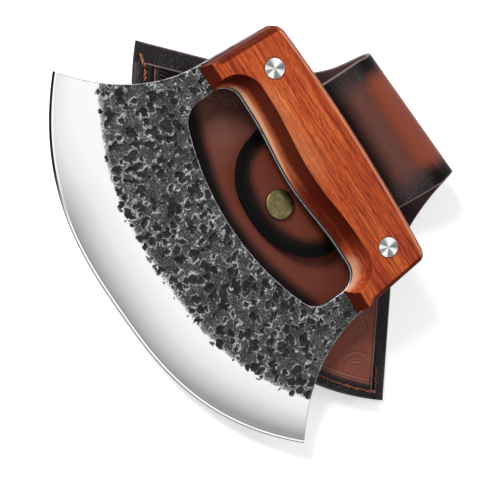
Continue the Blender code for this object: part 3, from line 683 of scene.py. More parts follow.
# %% [markdown]
# ## Hammer marks
# Marks could be carved one by one, but thousands of them are quicker as a pattern of cells. Noise
# bends the cells out of shape, and each draws its own radius and depth, so no two pits are alike.
# The steel's material uses the same pattern, so its colours fit the pits.

# %% Geometry Nodes that hammer a face
PIT_SPACING, PIT_DEPTH, RIM_HEIGHT, GRAIN_HEIGHT, HAMMER_SEED = 0.0042, 0.00044, 0.00012, 0.00022, 2.0
PIT_WARP, PIT_SMALL, PIT_LARGE, PIT_SHALLOW = 0.0062, 0.20, 0.62, 0.45
PIT_CALM, BROAD_HEIGHT, BROAD_LEVEL = 0.80, 0.00036, 0.60
print(f"pits {PIT_SPACING * 1000:.1f} mm apart and up to {PIT_DEPTH * 1000:.2f} mm deep")


def hammer_marks(tree, position, face, sizes):
    """The beaten face's height over the flat plate, and the shares of pit floor and of rim."""
    spacing, depth, rim_height, grain_height, seed = sizes
    apart = calc(tree, 'MULTIPLY_ADD', face, 3.7, seed)
    flat = vector(tree, 'MULTIPLY', position, (1, 1, 0))
    shift = node(tree, "ShaderNodeCombineXYZ", {0: apart, 1: product(tree, apart, 1.7)})
    sample = vector(tree, 'ADD', flat, shift)
    drift = vector(tree, 'SUBTRACT', noise(tree, sample, 290.0, 4.0, out=1), (0.5, 0.5, 0.5))
    warped = vector(tree, 'ADD', sample, vector(tree, 'SCALE', drift, PIT_WARP))
    count = calc(tree, 'DIVIDE', 1.0, spacing)
    cells = node(tree, "ShaderNodeTexVoronoi",
                 {"Vector": warped, "Scale": count, "Smoothness": 0.12, "Randomness": 1.0},
                 voronoi_dimensions='2D', feature='SMOOTH_F1').node.outputs
    luck = split(tree, cells["Color"])
    radius = node(tree, "ShaderNodeMapRange",
                  {"Value": luck[0], "To Min": PIT_SMALL, "To Max": PIT_LARGE})
    within = calc(tree, 'SUBTRACT', radius, cells["Distance"])
    floor = fade(tree, within, 0.0, 0.16)
    bowl = fade(tree, within, -0.02, 0.26)
    rim = calc(tree, 'SUBTRACT', fade(tree, within, -0.10, 0.0), floor, clamp=True)
    how_deep = node(tree, "ShaderNodeMapRange", {"Value": luck[1], "To Min": PIT_SHALLOW, "To Max": 1.0})
    sunk = product(tree, bowl, how_deep, depth)
    lifted = product(tree, rim, rim_height)
    fine = noise(tree, sample, 1250.0, 3.0, 0.7)
    calm = calc(tree, 'MULTIPLY_ADD', floor, -PIT_CALM, 1.0)
    grain = product(tree, calc(tree, 'SUBTRACT', fine, 0.5), calm, grain_height)
    broad = noise(tree, sample, 270.0, 2.0)
    broad = product(tree, calc(tree, 'SUBTRACT', broad, BROAD_LEVEL), BROAD_HEIGHT)
    relief = calc(tree, 'ADD', calc(tree, 'SUBTRACT', lifted, sunk), calc(tree, 'ADD', grain, broad))
    return relief, floor, rim, fine


def build_hammering(material):
    """The recipe that beats both faces, where the ground band doesn't cut the marks away."""
    sizes = ["Pit Spacing", "Pit Depth", "Rim Height", "Grain Height", "Seed"]
    tree, given = new_recipe("hammering", [
        (label, 'NodeSocketFloat') for label in sizes + ["Half Thickness"]])
    face = named(tree, "side")
    position = node(tree, "GeometryNodeInputPosition")
    relief, *_ = hammer_marks(tree, position, face, [given[label] for label in sizes])
    relief = product(tree, relief, named(tree, "hammered"))
    height = calc(tree, 'MINIMUM', calc(tree, 'ADD', given["Half Thickness"], relief),
                  named(tree, "ground_height"))
    axes = split(tree, position)
    moved = node(tree, "ShaderNodeCombineXYZ",
                 {0: axes[0], 1: axes[1], 2: product(tree, height, face)})
    shape = node(tree, "GeometryNodeSetPosition", {"Geometry": given["Geometry"], "Position": moved})
    finish_recipe(tree, shape, material)
    return tree


# %% [markdown]
# ## Forged steel
# One material covers the whole plate, because it is one plate. The value "ground" chooses between
# bare ground steel and black forge scale. Scale is darkest on the pit floors, and is rubbed
# back to grey metal on the rims and on every high grain. The band's reflection is painted into its
# colour: bright, darker towards the edge, brighter at one end and duller at the other, with a painted
# highlight along the keen edge.

# %% Colours of the steel
KEEN_REACH, KEEN_PAINTED_DARK_FROM, KEEN_PAINTED_DARK_AT = 0.002, -0.036, -0.062
PAINTED_BRIGHT_FROM, PAINTED_BRIGHT_AT, PAINTED_BRIGHT_END = -0.035, -0.080, 0.42
PAINTED_DULL_FROM, PAINTED_DULL_AT, PAINTED_DULL_END = 0.020, 0.070, -0.11
BLACK_STEEL, WALL_STEEL = (0.035, 0.034, 0.034, 1), (0.030, 0.029, 0.029, 1)
RUBBED_STEEL, RIM_STEEL = (0.34, 0.34, 0.345, 1), (0.50, 0.50, 0.51, 1)
WASHED_STEEL, EDGE_HIGHLIGHT_STEEL = (0.42, 0.42, 0.43, 1), (0.36, 0.36, 0.36, 1)


def greys(*stops):
    """Ramp stops of grey from (position, tone) pairs."""
    return [(place, (tone, tone, tone)) for place, tone in stops]


def painted_band_reflection(tree, across, inset, x):
    """Colour of the ground band with its reflection painted in: darker towards the edge, brighter at the
    left end and duller at the right. The keen edge gets a painted highlight line between dark lines, and
    turns black at one end.
    """
    # Painted reflection: the band is brighter towards the left end and duller towards the right.
    painted_brighter = fade(tree, x, PAINTED_BRIGHT_FROM, PAINTED_BRIGHT_AT, 0.0, PAINTED_BRIGHT_END)
    painted_duller = fade(tree, x, PAINTED_DULL_FROM, PAINTED_DULL_AT, 0.0, PAINTED_DULL_END)
    shifted = calc(tree, 'ADD', calc(tree, 'ADD', across, painted_brighter), painted_duller)
    band = ramp(tree, shifted, [
        (0.0, (0.34, 0.34, 0.345)), (0.22, (0.58, 0.58, 0.59)), (0.5, (0.82, 0.82, 0.825)),
        (0.84, (0.94, 0.94, 0.94))])
    band = mix(tree, fade(tree, across, 0.88, 1.0), band, WASHED_STEEL)
    from_edge = calc(tree, 'DIVIDE', inset, KEEN_REACH)
    # The keen edge gets a painted highlight line between painted dark lines, and at the left end it turns
    # dark.
    keen_painted_highlight = ramp(tree, from_edge, greys(
        (0.0, 0.03), (0.13, 0.05), (0.19, 0.94), (0.54, 0.94), (0.62, 0.16)) + [(0.72, (0.31, 0.31, 0.315))])
    keen_painted_dark = ramp(tree, from_edge, greys((0.0, 0.012), (0.44, 0.012), (0.54, 0.95), (0.80, 0.95)))
    keen = mix(tree, fade(tree, x, KEEN_PAINTED_DARK_FROM, KEEN_PAINTED_DARK_AT), keen_painted_highlight, keen_painted_dark)
    return mix(tree, fade(tree, inset, KEEN_REACH, 0.0014), band, keen)


def forge_scale(tree, fine, grit, patch, pit, rim, rubbed):
    """Colour of the beaten face: black floors, grey rims, and grains rubbed back to metal."""
    sparkle = weighed(tree, (fine, 0.40), (grit, 0.42), (patch, 0.18))
    colour = ramp(tree, sparkle, [
        (0.41, (0.010, 0.010, 0.011)), (0.475, (0.030, 0.030, 0.031)),
        (0.54, (0.090, 0.090, 0.091)), (0.60, (0.27, 0.27, 0.275)), (0.67, (0.64, 0.64, 0.64))])
    floor = ramp(tree, patch, [(0.36, (0.004, 0.004, 0.005)), (0.64, (0.024, 0.024, 0.025))])
    colour = mix(tree, product(tree, pit, 0.93), colour, floor)
    lit = product(tree, rim, fade(tree, patch, 0.44, 0.58, 0.0, 0.85))
    colour = mix(tree, lit, colour, RIM_STEEL)
    return mix(tree, product(tree, rubbed, 0.80), colour, RUBBED_STEEL)


# %% Steel material
def build_steel():
    """Ground steel and forge scale on one plate."""
    material, tree = new_material("forged_steel")
    place = in_knife(tree)
    relief, pit, rim, fine = hammer_marks(
        tree, place, attribute(tree, "side"),
        (PIT_SPACING, PIT_DEPTH, RIM_HEIGHT, GRAIN_HEIGHT, HAMMER_SEED))
    hammered = attribute(tree, "hammered")
    relief = product(tree, relief, hammered)
    over = calc(tree, 'SUBTRACT', calc(tree, 'ADD', relief, HALF_STEEL), attribute(tree, "ground_height"))
    across, inset = attribute(tree, "across_band"), attribute(tree, "inset")
    in_band = fade(tree, across, 1.16, 1.10)
    ground = product(tree, fade(tree, over, 0.0, 0.00004), in_band)
    rubbed = product(tree, fade(tree, over, -0.00016, 0.00002), in_band)
    patch = noise(tree, place, 300.0, 3.0, 0.6)
    grit = noise(tree, place, 2300.0, 3.0, 0.75)
    axes = split(tree, place)
    beaten = forge_scale(tree, fine, grit, patch, pit, rim, rubbed)
    on_tang = fade(tree, axes[1], NECK_Y, NECK_Y + 0.002)
    beaten = mix(tree, on_tang, beaten, BLACK_STEEL)
    colour = mix(tree, ground, beaten, painted_band_reflection(tree, across, inset, axes[0]))
    # A pale line painted in patches along the faces' outer edges stands in for their highlight. The side
    # walls are painted near black.
    on_side = fade(tree, inset, BACK_FROM_EDGE, 0.003)
    patchy = product(tree, on_side, fade(tree, patch, 0.34, 0.50, 0.30, 0.85))
    edge_highlight = product(tree, fade(tree, attribute(tree, "edge_distance"), 0.00042, 0.00026), patchy)
    wall = fade(tree, calc(tree, 'ABSOLUTE', attribute(tree, "side")), 0.82, 0.68)
    colour = mix(tree, edge_highlight, colour, EDGE_HIGHLIGHT_STEEL)
    colour = mix(tree, product(tree, wall, on_side), colour, WALL_STEEL)
    bright = calc(tree, 'MAXIMUM', ground, product(tree, edge_highlight, 0.6))
    rough = mix_value(tree, pit, calc(tree, 'MULTIPLY_ADD', fine, 0.25, 0.42), 0.36)
    height = calc(tree, 'ADD', relief, product(tree, grit, 0.00012))
    height = product(tree, height, calc(tree, 'SUBTRACT', 1.0, bright))
    return surfaced(material, tree, {
        "Base Color": colour, "Roughness": mix_value(tree, bright, rough, 0.24),
        "Metallic": mix_value(tree, bright, 0.45, 1.0), "Specular IOR Level": 0.25,
        "Normal": bump(tree, height, 1.0, 1.0)})


steel = build_steel()
blade = baked(blade, build_hammering(steel), {
    "Pit Spacing": PIT_SPACING, "Pit Depth": PIT_DEPTH, "Rim Height": RIM_HEIGHT,
    "Grain Height": GRAIN_HEIGHT, "Half Thickness": HALF_STEEL, "Seed": HAMMER_SEED})
blade.data.transform(KNIFE)
smoothed(blade.data, sharp=60)
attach(blade, "knife")
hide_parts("blade")
print("blade", len(blade.data.polygons), "faces")

# %% [markdown]
# ## The handle's wooden scales
# Each scale is sawn from a plank, scooped out along the fingers, and left crisp where the face meets
# the scoop. The palm side is rounded over. A stack of outlines from the steel outwards
# describes that better than cutting a block, because every outline can have its own scoop.

# %% Scales
SCALE_BASE, SCALE_THICK = 0.0017, 0.0077
ARM_SPLAY, ARM_END_Y, ARM_END_DRAFT, END_DRAFT = 0.0022, 0.0508, 0.0036, 0.0012
COVE_WIDTH, COVE_ARM, COVE_CORNER = 0.0072, 0.0026, 0.0050
EASED, PALM_ROUND, END_ROUND = 0.0004, 0.0026, 0.0024
END_STAIN, END_STAIN_FROM, END_STAIN_AT = 0.92, 0.0585, 0.0592
FOOT_SHADE, RIGHT_SHADE, HOLLOW_SHADE, HOLLOW_HIGHLIGHT = 1.0, 0.90, 0.34, 0.80
HIGHLIGHT_LEAST, HIGHLIGHT_MORE = 0.04, 0.18
print(f"scales {SCALE_THICK * 1000:.1f} mm thick, scooped {COVE_WIDTH * 1000:.1f} mm wide")


def scale_outline(share, draft):
    """Edge of a scale. share is how much of the scoop is cut, draft how much of the taper."""
    end_x = HANDLE_LENGTH / 2 - END_DRAFT * draft
    foot_x = end_x + ARM_SPLAY
    shoulder = PALM_Y - PALM_CROWN
    half = palm_line(end_x, PALM_Y)
    half += corner_arc((0, shoulder), (end_x, shoulder), (foot_x, ARM_END_Y), PALM_CORNER_R)[1:]
    foot_y = ARM_END_Y + ARM_END_DRAFT * draft
    inner_x = WINDOW_HALF + COVE_ARM * share
    top_x, top_y = half[-1]
    for i in range(1, 9):
        half.append((top_x + (foot_x - top_x) * i / 8, top_y + (foot_y - top_y) * i / 8))
    half += [(foot_x + (inner_x - foot_x) * i / 4, foot_y) for i in range(1, 5)]
    finger_y = FINGER_Y + COVE_WIDTH * share
    corner_r = min(ARM_CORNER_R + COVE_CORNER * share, finger_y - foot_y - EASED)
    finger = finger_line(inner_x, finger_y, corner_r)
    half += finger[::-1]
    return mirrored(half)


def scoop_painted_light(outline, height, share):
    """Painted shade and stain from 1, dark, to -1, pale. The scoop and the arms' feet get painted
    shade and the end grain takes stain, and painted highlights lie beside the steel and in the right arm's
    hollow."""
    x, y = outline.T
    scoop = y < FINGER_Y + COVE_WIDTH * share + TINY
    scoop &= np.abs(x) < WINDOW_HALF + COVE_ARM * share + TINY
    foot = np.abs(y - ARM_END_Y - ARM_END_DRAFT * height) < TINY
    # Painted highlights: pale beside the steel, most on the left, and low in the right arm's hollow. Painted
    # shade: dark up the scoop, on its right part, high in the hollow and on the arms' feet.
    hollow = smooth(x, 0.030, 0.044)
    worn = HIGHLIGHT_LEAST + HIGHLIGHT_MORE * smooth(-x, -0.012, 0.040)
    rubbed = (1 - smooth(height, 0.3 * worn, worn)) * smooth(-x, -0.016, 0.006)
    rubbed = rubbed * smooth(-x, 0.0515, 0.046)
    pale = hollow * (1 - smooth(height, 0.02, 0.55))
    depth = np.maximum(smooth(height, 0.08, 0.38), RIGHT_SHADE * smooth(x, -0.014, 0.010))
    tone = depth * (1 - hollow) + HOLLOW_SHADE * hollow * smooth(height, 0.30, 0.90)
    tone = tone - np.maximum(rubbed, HOLLOW_HIGHLIGHT * pale)
    at_end = END_STAIN * smooth(np.abs(x), END_STAIN_FROM, END_STAIN_AT)
    ends = np.where(y < PALM_Y - PALM_CROWN - CROWN_MARGIN, at_end, 0.0)
    return np.where(foot, FOOT_SHADE, np.where(scoop, tone, ends))


def mesh_of(shape, name):
    """A mesh from a shape that was built face by face, with its faces turned outwards."""
    bmesh.ops.recalc_face_normals(shape, faces=shape.faces)
    mesh = bpy.data.meshes.new(name)
    shape.to_mesh(mesh)
    shape.free()
    return mesh


# %% Rings of a scale
RING_STEPS, EASE_STEPS, SCOOP_POWER = 16, 7, 1.7
PALM_HIGHLIGHT, END_KEPT = 0.6, (1, 1, 1, 1, 1, 0.95, 0)
print(RING_STEPS + EASE_STEPS + 1, "rings in a scale")


def scoop_rings():
    """Outlines from the steel up to the flat face, each with its own share of the scoop."""
    rings, painted_light_and_stains = [], []
    for i in range(RING_STEPS + 1):
        height = i / RING_STEPS * (1 - EASED / SCALE_THICK)
        share = 1 - (1 - height) ** SCOOP_POWER
        outline = scale_outline(share, height)
        rings.append([(x, y, SCALE_BASE + SCALE_THICK * height) for x, y in outline])
        painted_light_and_stains.append(scoop_painted_light(np.array(outline), height, share))
    return rings, painted_light_and_stains


def eased_rings(rings, painted_light_and_stains):
    """The same rings with the face's edge rounded over, by more at the palm and at the ends."""
    outline = np.array(scale_outline(1, 1))
    ahead = np.roll(outline, -1, axis=0) - np.roll(outline, 1, axis=0)
    inward = np.stack([ahead[:, 1], -ahead[:, 0]], 1) / np.hypot(*ahead.T)[:, None]
    palm = np.clip((outline[:, 1] - (PALM_Y - 0.0085)) / 0.006, 0, 1)
    at_end = smooth(np.abs(outline[:, 0]), 0.0575, 0.0588) * smooth(outline[:, 1], 0.0548, 0.0560)
    radius = EASED + np.maximum((PALM_ROUND - EASED) * palm, (END_ROUND - EASED) * at_end)
    top = RING_STEPS
    for i in range(1, EASE_STEPS + 1):
        angle = math.radians(90) * i / EASE_STEPS
        eased = outline + inward * (radius * (1 - math.cos(angle)))[:, None]
        height = SCALE_BASE + SCALE_THICK - radius * (1 - math.sin(angle))
        rings.append([(x, y, z) for (x, y), z in zip(eased, height)])
        # A pale line painted along the start of the palm's rounding stands in for its highlight.
        line = -PALM_HIGHLIGHT * palm * (i in (5, 6)) * (outline[:, 1] > PALM_Y - 0.003)
        kept = np.where(at_end > 0.5, END_KEPT[i - 1], max(0, 1 - i / 5))
        painted_light_and_stains.append(painted_light_and_stains[top] * kept + line)
    rings[top] = [(x, y, min(z, h)) for (x, y, z), h in
                  zip(rings[top], SCALE_BASE + SCALE_THICK - radius)]
    for k in range(1, top):
        rings[k] = [(x, y, min(z, over[2] - (top - k) * 1e-5))
                    for (x, y, z), over in zip(rings[k], rings[top])]
    return rings, painted_light_and_stains


# %% A scale from its rings
def build_scale(name, side, material):
    """Faces between every ring and the next. side is 1 for the front scale, -1 for the back."""
    rings, painted_light_and_stains = eased_rings(*scoop_rings())
    shape = bmesh.new()
    levels = [[shape.verts.new((x, y, side * z)) for x, y, z in level] for level in rings]
    count = len(levels[0])
    for low, high in zip(levels, levels[1:]):
        for i in range(count):
            j = (i + 1) % count
            shape.faces.new((low[i], low[j], high[j], high[i]))
    shape.faces.new(levels[0])
    shape.faces.new(levels[-1])
    mesh = mesh_of(shape, name)
    store(mesh, "stain", np.concatenate(painted_light_and_stains))
    mesh.transform(KNIFE)
    smoothed(mesh, sharp=33)
    mesh.materials.append(material)
    print(name, len(mesh.polygons), "faces")
    return put(name, mesh)


# %% [markdown]
# ## Red-brown wood
# Wood is long cells, so everything in it is stretched along the grain: broad bands from the growth
# rings, narrow streaks, and short dark pores. Three noises with different stretch give those, and
# the same pores also dent the surface. A thin oil coat gives the soft shine.

# %% Wood material
RIVET_SPACING, RIVET_Y, RIVET_HEAD_D, RIVET_HEAD_DEPTH, RIVET_PROUD = 0.0904, 0.0758, 0.0086, 0.0024, 0.0002
SHEEN_WOOD, HIGHLIGHT_WOOD = (0.74, 0.29, 0.13, 1), (0.74, 0.40, 0.24, 1)
PORE_WOOD, SHADE_AND_STAIN_WOOD = (0.090, 0.008, 0.003, 1), (0.060, 0.006, 0.003, 1)
RIVET_SHADOW_WOOD = (0.045, 0.006, 0.003, 1)


def build_wood():
    """Red-brown wood with its grain along the handle."""
    material, tree = new_material("handle_wood")
    place = in_knife(tree)
    sway = noise(tree, stretched(tree, place, (16, 70, 70)), 1.0, 2.0, out=1)
    sway = vector(tree, 'SUBTRACT', sway, (0.5, 0.5, 0.5))
    sway = vector(tree, 'SCALE', sway, 0.0042)
    grain = vector(tree, 'ADD', place, sway)
    bands = noise(tree, stretched(tree, grain, (6, 120, 120)), 1.0, 3.0, 0.55)
    streaks = noise(tree, stretched(tree, grain, (20, 820, 820)), 1.0, 4.0, 0.62)
    fibres = noise(tree, stretched(tree, grain, (110, 4600, 4600)), 1.0, 2.0, 0.6)
    pores = noise(tree, stretched(tree, grain, (260, 4200, 4200)), 1.0, 2.0, 0.5)
    pores = fade(tree, pores, 0.46, 0.36)
    tone = weighed(tree, (bands, 0.34), (streaks, 0.38), (fibres, 0.28))
    colour = ramp(tree, tone, [
        (0.36, (0.105, 0.008, 0.003)), (0.43, (0.255, 0.023, 0.006)),
        (0.49, (0.430, 0.061, 0.012)), (0.56, (0.585, 0.118, 0.025)), (0.65, (0.750, 0.235, 0.078))])
    colour = mix(tree, product(tree, pores, 0.72), colour, PORE_WOOD)
    axes = split(tree, place)
    # The scales carry painted shade in the scoop and on the arms' feet, painted highlights beside the steel,
    # in the right hollow and along the palm edge, and stain on the end grain.
    stain = attribute(tree, "stain")
    # A painted sheen lightens the face beside the scoop, on its left part.
    beside_scoop = fade(tree, axes[1], FINGER_Y + 0.0155, FINGER_Y + COVE_WIDTH)
    left_part = product(tree, fade(tree, axes[0], 0.012, -0.008), fade(tree, axes[0], -0.050, -0.034))
    painted_face_sheen = product(tree, beside_scoop, left_part)
    colour = mix(tree, product(tree, painted_face_sheen, 0.26), colour, SHEEN_WOOD)
    colour = mix(tree, fade(tree, stain, 0.0, -1.0, 0.0, 0.78), colour, HIGHLIGHT_WOOD)
    painted_shade_and_stain = calc(tree, 'MULTIPLY', stain, 0.92, clamp=True)
    colour = mix(tree, painted_shade_and_stain, colour, SHADE_AND_STAIN_WOOD)
    # A painted shadow rings each rivet head.
    from_rivet = calc(tree, 'SUBTRACT', calc(tree, 'ABSOLUTE', axes[0]), RIVET_SPACING / 2)
    from_rivet = node(tree, "ShaderNodeCombineXYZ",
                      {0: from_rivet, 1: calc(tree, 'SUBTRACT', axes[1], RIVET_Y)})
    from_rivet = vector(tree, 'LENGTH', from_rivet, out=1)
    rivet_shadow = fade(tree, from_rivet, RIVET_HEAD_D / 2 + 0.0008, RIVET_HEAD_D / 2 + 0.0001, 0.0, 0.8)
    colour = mix(tree, rivet_shadow, colour, RIVET_SHADOW_WOOD)
    height = calc(tree, 'SUBTRACT', product(tree, fibres, 0.35), pores)
    return surfaced(material, tree, {
        "Base Color": colour,
        "Roughness": mix_value(tree, painted_shade_and_stain, calc(tree, 'MULTIPLY_ADD', streaks, 0.15, 0.27), 0.50),
        "Specular IOR Level": mix_value(tree, painted_shade_and_stain, 0.18, 0.02),
        "Normal": bump(tree, height, 0.00005, 0.6)})


wood = build_wood()
for name, side, solid in (("front_wood", 1, "front_scale"), ("back_wood", -1, "back_scale")):
    scale = build_scale(name, side, wood)
    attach(scale, "knife")
    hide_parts(solid)

# %% [markdown]
# ## Rivets
# A rivet's head is faced on a lathe, which leaves fine rings, and rings scatter light only across
# themselves, so the head shows bright and dark wedges; the shader also paints such wedges into the
# colour as a painted reflection, and paints a highlight on the chamfer. The head is one small turned shape.
# Its
# texture coordinates run round the axis and give the shader the direction of the rings. Geometry
# Nodes set one on each of the four places.

# %% A turned shape
def turned(name, profile, steps):
    """A round piece about Z with texture coordinates that run round it."""
    shape = bmesh.new()
    layer = shape.loops.layers.uv.new("round")
    columns = []
    for i in range(steps):
        angle = 2 * math.pi * i / steps
        columns.append([shape.verts.new((r * math.cos(angle), r * math.sin(angle), z)) if r > 0 else None
                        for r, z in profile])
    for k, (r, z) in enumerate(profile):
        if r <= 0:
            pole = shape.verts.new((0, 0, z))
            for column in columns:
                column[k] = pole
    for i in range(steps):
        a, b = columns[i], columns[(i + 1) % steps]
        for k in range(len(profile) - 1):
            corners = [(a[k], i, k), (a[k + 1], i, k + 1), (b[k + 1], i + 1, k + 1), (b[k], i + 1, k)]
            unique = []
            for corner in corners:
                if all(corner[0] is not other[0] for other in unique):
                    unique.append(corner)
            face = shape.faces.new([c[0] for c in unique])
            for loop, (_, u, v) in zip(face.loops, unique):
                loop[layer].uv = (u / steps, v / len(profile))
    mesh = mesh_of(shape, name)
    smoothed(mesh, sharp=35)
    return mesh


# %% Rivet steel
PAINTED_REFLECTION_WEDGES = [(0.0, 0.24), (0.03, 0.90), (0.10, 0.94), (0.16, 0.13), (0.235, 0.17), (0.30, 0.90),
                 (0.43, 0.97), (0.50, 0.24), (0.585, 0.18), (0.63, 0.95), (0.67, 0.90), (0.705, 0.22),
                 (0.75, 0.26), (0.79, 0.93), (0.86, 0.93), (0.90, 0.16), (0.935, 0.16), (1.0, 0.24)]
RING_STEEL, CHAMFER_HIGHLIGHT_STEEL = (0.60, 0.60, 0.60, 1), (0.90, 0.90, 0.89, 1)


def build_rivet_steel():
    """Faced steel whose rings run round the axis, with wedges of reflection and a chamfer highlight painted
    into its colour.
    """
    material, tree = new_material("rivet_steel")
    round_axis = split(tree, node(tree, "ShaderNodeUVMap", uv_map="round"))
    # Painted reflection: bright and dark wedges set into the colour round the axis.
    painted_wedges = ramp(tree, round_axis[0], [(at, (tone, tone, tone * 0.99)) for at, tone in PAINTED_REFLECTION_WEDGES])
    rings = noise(tree, node(tree, "ShaderNodeCombineXYZ",
                             {0: product(tree, round_axis[1], 60.0)}), 1.0, 2.0)
    # A pale ring painted on the chamfer stands in for its highlight.
    chamfer_highlight = fade(tree, round_axis[1], 0.74, 0.78)
    chamfer_highlight = product(tree, chamfer_highlight, fade(tree, round_axis[1], 0.90, 0.86))
    colour = mix(tree, product(tree, rings, 0.30), painted_wedges, RING_STEEL)
    colour = mix(tree, chamfer_highlight, colour, CHAMFER_HIGHLIGHT_STEEL)
    tangent = node(tree, "ShaderNodeTangent", direction_type='UV_MAP', uv_map="round")
    return surfaced(material, tree, {
        "Base Color": colour, "Metallic": 1.0,
        "Roughness": calc(tree, 'MULTIPLY_ADD', rings, 0.10, 0.22),
        "Anisotropic": 0.8, "Tangent": tangent})


# %% Rivet heads
SCALE_TOP = SCALE_BASE + SCALE_THICK
head_r = RIVET_HEAD_D / 2
head_profile = [(0, 0)] + [(head_r * i / 12, 0) for i in range(1, 12)]
head_profile += [(head_r - 0.0002, 0), (head_r - 0.00006, -0.00006), (head_r, -0.0002),
                 (head_r, -RIVET_HEAD_DEPTH), (0, -RIVET_HEAD_DEPTH)]
head_mesh = turned("rivet_head", head_profile, 72)
print("one rivet head", len(head_mesh.polygons), "faces")


# %% Geometry Nodes that set the rivets
def build_riveting(material):
    """The recipe that sets one head at each end of both faces."""
    tree, given = new_recipe("riveting", [
        ("Rivet Spacing", 'NodeSocketFloat'), ("Rivet Line", 'NodeSocketFloat'),
        ("Face Height", 'NodeSocketFloat'), ("Head", 'NodeSocketObject')])
    half = product(tree, given["Rivet Spacing"], -0.5)
    head = node(tree, "GeometryNodeObjectInfo", {"Object": given["Head"]}, out=4)
    join = tree.nodes.new("GeometryNodeJoinGeometry")
    for side in (1, -1):
        start = node(tree, "ShaderNodeCombineXYZ",
                     {0: half, 1: given["Rivet Line"], 2: product(tree, given["Face Height"], side)})
        offset = node(tree, "ShaderNodeCombineXYZ", {0: given["Rivet Spacing"]})
        line = node(tree, "GeometryNodeMeshLine",
                    {"Count": 2, "Start Location": start, "Offset": offset}, mode='OFFSET')
        flip = (0, 0, 0) if side > 0 else (math.pi, 0, 0)
        heads = node(tree, "GeometryNodeInstanceOnPoints",
                     {"Points": line, "Instance": head, "Rotation": flip})
        tree.links.new(heads, join.inputs[0])
    finish_recipe(tree, join.outputs[0], material)
    return tree


rivet_steel = build_rivet_steel()
head = put("rivet_head", head_mesh)
rivets = put("rivet_heads", bpy.data.meshes.new("rivet_heads"))
rivets = baked(rivets, build_riveting(rivet_steel), {
    "Rivet Spacing": RIVET_SPACING, "Rivet Line": RIVET_Y,
    "Face Height": SCALE_TOP + RIVET_PROUD, "Head": head})
bpy.data.objects.remove(head, do_unlink=True)
rivets.data.transform(KNIFE)
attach(rivets, "knife")
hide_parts("rivet_front_left", "rivet_back_left", "rivet_front_right", "rivet_back_right")
print("rivets", len(rivets.data.polygons), "faces")

# %% [markdown]
# ## Leather
# The sheath is vegetable-tanned leather of 1.8 mm, dyed like a sunburst: reddish brown in the
# middle and burnished to black along the edges. Each sheet stores a value "dye",
# from 0 at black to 1 at full colour, which on the front panel also holds a painted shadow of the
# blade and painted light on the right wing, and the material reads it. A painted sheen and painted
# highlights are stored the same way. A cell pattern gives the pebbled grain, with painted glints.

# %% Leather material
SHEEN_LEATHER, HIGHLIGHT_LEATHER = (0.155, 0.060, 0.048, 1), (0.270, 0.180, 0.155, 1)
GRAINED_LEATHER, GLINT_LEATHER = (0.030, 0.025, 0.027, 1), (0.080, 0.078, 0.084, 1)
CUT_LEATHER = (0.210, 0.150, 0.150, 1)
PEBBLES_PER_METRE = 1150.0


def build_leather():
    """Dyed leather that reads from the sheet its dye with painted light, a painted sheen and painted
    highlights.
    """
    material, tree = new_material("tooled_leather")
    place = placed(tree)
    dye, bloom, flesh = (attribute(tree, label) for label in ("dye", "bloom", "flesh"))
    cut = fade(tree, attribute(tree, "edge_distance"), 0.00085, 0.00045)
    cut = product(tree, cut, attribute(tree, "rubbed"))
    cloud = noise(tree, place, 60.0, 4.0, 0.6)
    fine = noise(tree, place, 900.0, 3.0, 0.6)
    tone = calc(tree, 'MULTIPLY_ADD', calc(tree, 'SUBTRACT', cloud, 0.5), 0.20, dye)
    tone = calc(tree, 'MULTIPLY_ADD', calc(tree, 'SUBTRACT', fine, 0.5), 0.16, tone)
    skin = ramp(tree, tone, [
        (0.02, (0.0022, 0.0018, 0.0020)), (0.30, (0.014, 0.006, 0.005)), (0.55, (0.066, 0.017, 0.011)),
        (0.80, (0.160, 0.037, 0.020)), (1.0, (0.240, 0.052, 0.026))])
    raw = ramp(tree, tone, [(0.0, (0.030, 0.016, 0.018)), (1.0, (0.24, 0.125, 0.122))])
    colour = mix(tree, flesh, skin, raw)
    # A painted sheen, read from the sheet.
    sheen_share = product(tree, bloom, fade(tree, fine, 0.25, 0.60, 0.75, 1.0))
    colour = mix(tree, sheen_share, colour, SHEEN_LEATHER)
    # Painted highlights, read from the sheet.
    worn = product(tree, attribute(tree, "worn"), fade(tree, cloud, 0.32, 0.56, 0.25, 0.85))
    colour = mix(tree, worn, colour, HIGHLIGHT_LEATHER)
    pebble = node(tree, "ShaderNodeTexVoronoi",
                  {"Vector": place, "Scale": PEBBLES_PER_METRE}, feature='DISTANCE_TO_EDGE')
    pebble = fade(tree, pebble, 0.0, 0.35)
    coarse = attribute(tree, "pebble")
    # Painted glints: pale specks on the coarse grain.
    pebble_glints = fade(tree, noise(tree, place, 1500.0, 2.0, 0.6), 0.50, 0.64)
    pebble_glints = product(tree, pebble_glints, fade(tree, cloud, 0.38, 0.62, 0.15, 0.80))
    pebble_glints = product(tree, pebble_glints, coarse)
    colour = mix(tree, product(tree, coarse, 0.6), colour, GRAINED_LEATHER)
    colour = mix(tree, pebble_glints, colour, GLINT_LEATHER)
    colour = mix(tree, product(tree, cut, 0.85), colour, CUT_LEATHER)
    height = product(tree, pebble, calc(tree, 'MULTIPLY_ADD', coarse, 0.8, 0.25))
    height = calc(tree, 'MULTIPLY_ADD', fine, 0.5, height)
    roughness = mix_value(tree, flesh, calc(tree, 'MULTIPLY_ADD', fine, 0.16, 0.36), 0.80)
    return surfaced(material, tree, {
        "Base Color": colour, "Roughness": roughness,
        "Specular IOR Level": fade(tree, tone, 0.15, 0.60, 0.06, 0.13),
        "Normal": bump(tree, height, 0.00010, 0.8)})


leather = build_leather()

# %% [markdown]
# ## The sheath's outlines
# The pouch's arc echoes the blade's, its wings run straight at 43 degrees, and the back panel flares
# into the strap. The strap folds over at the back and comes forward again over the pouch.

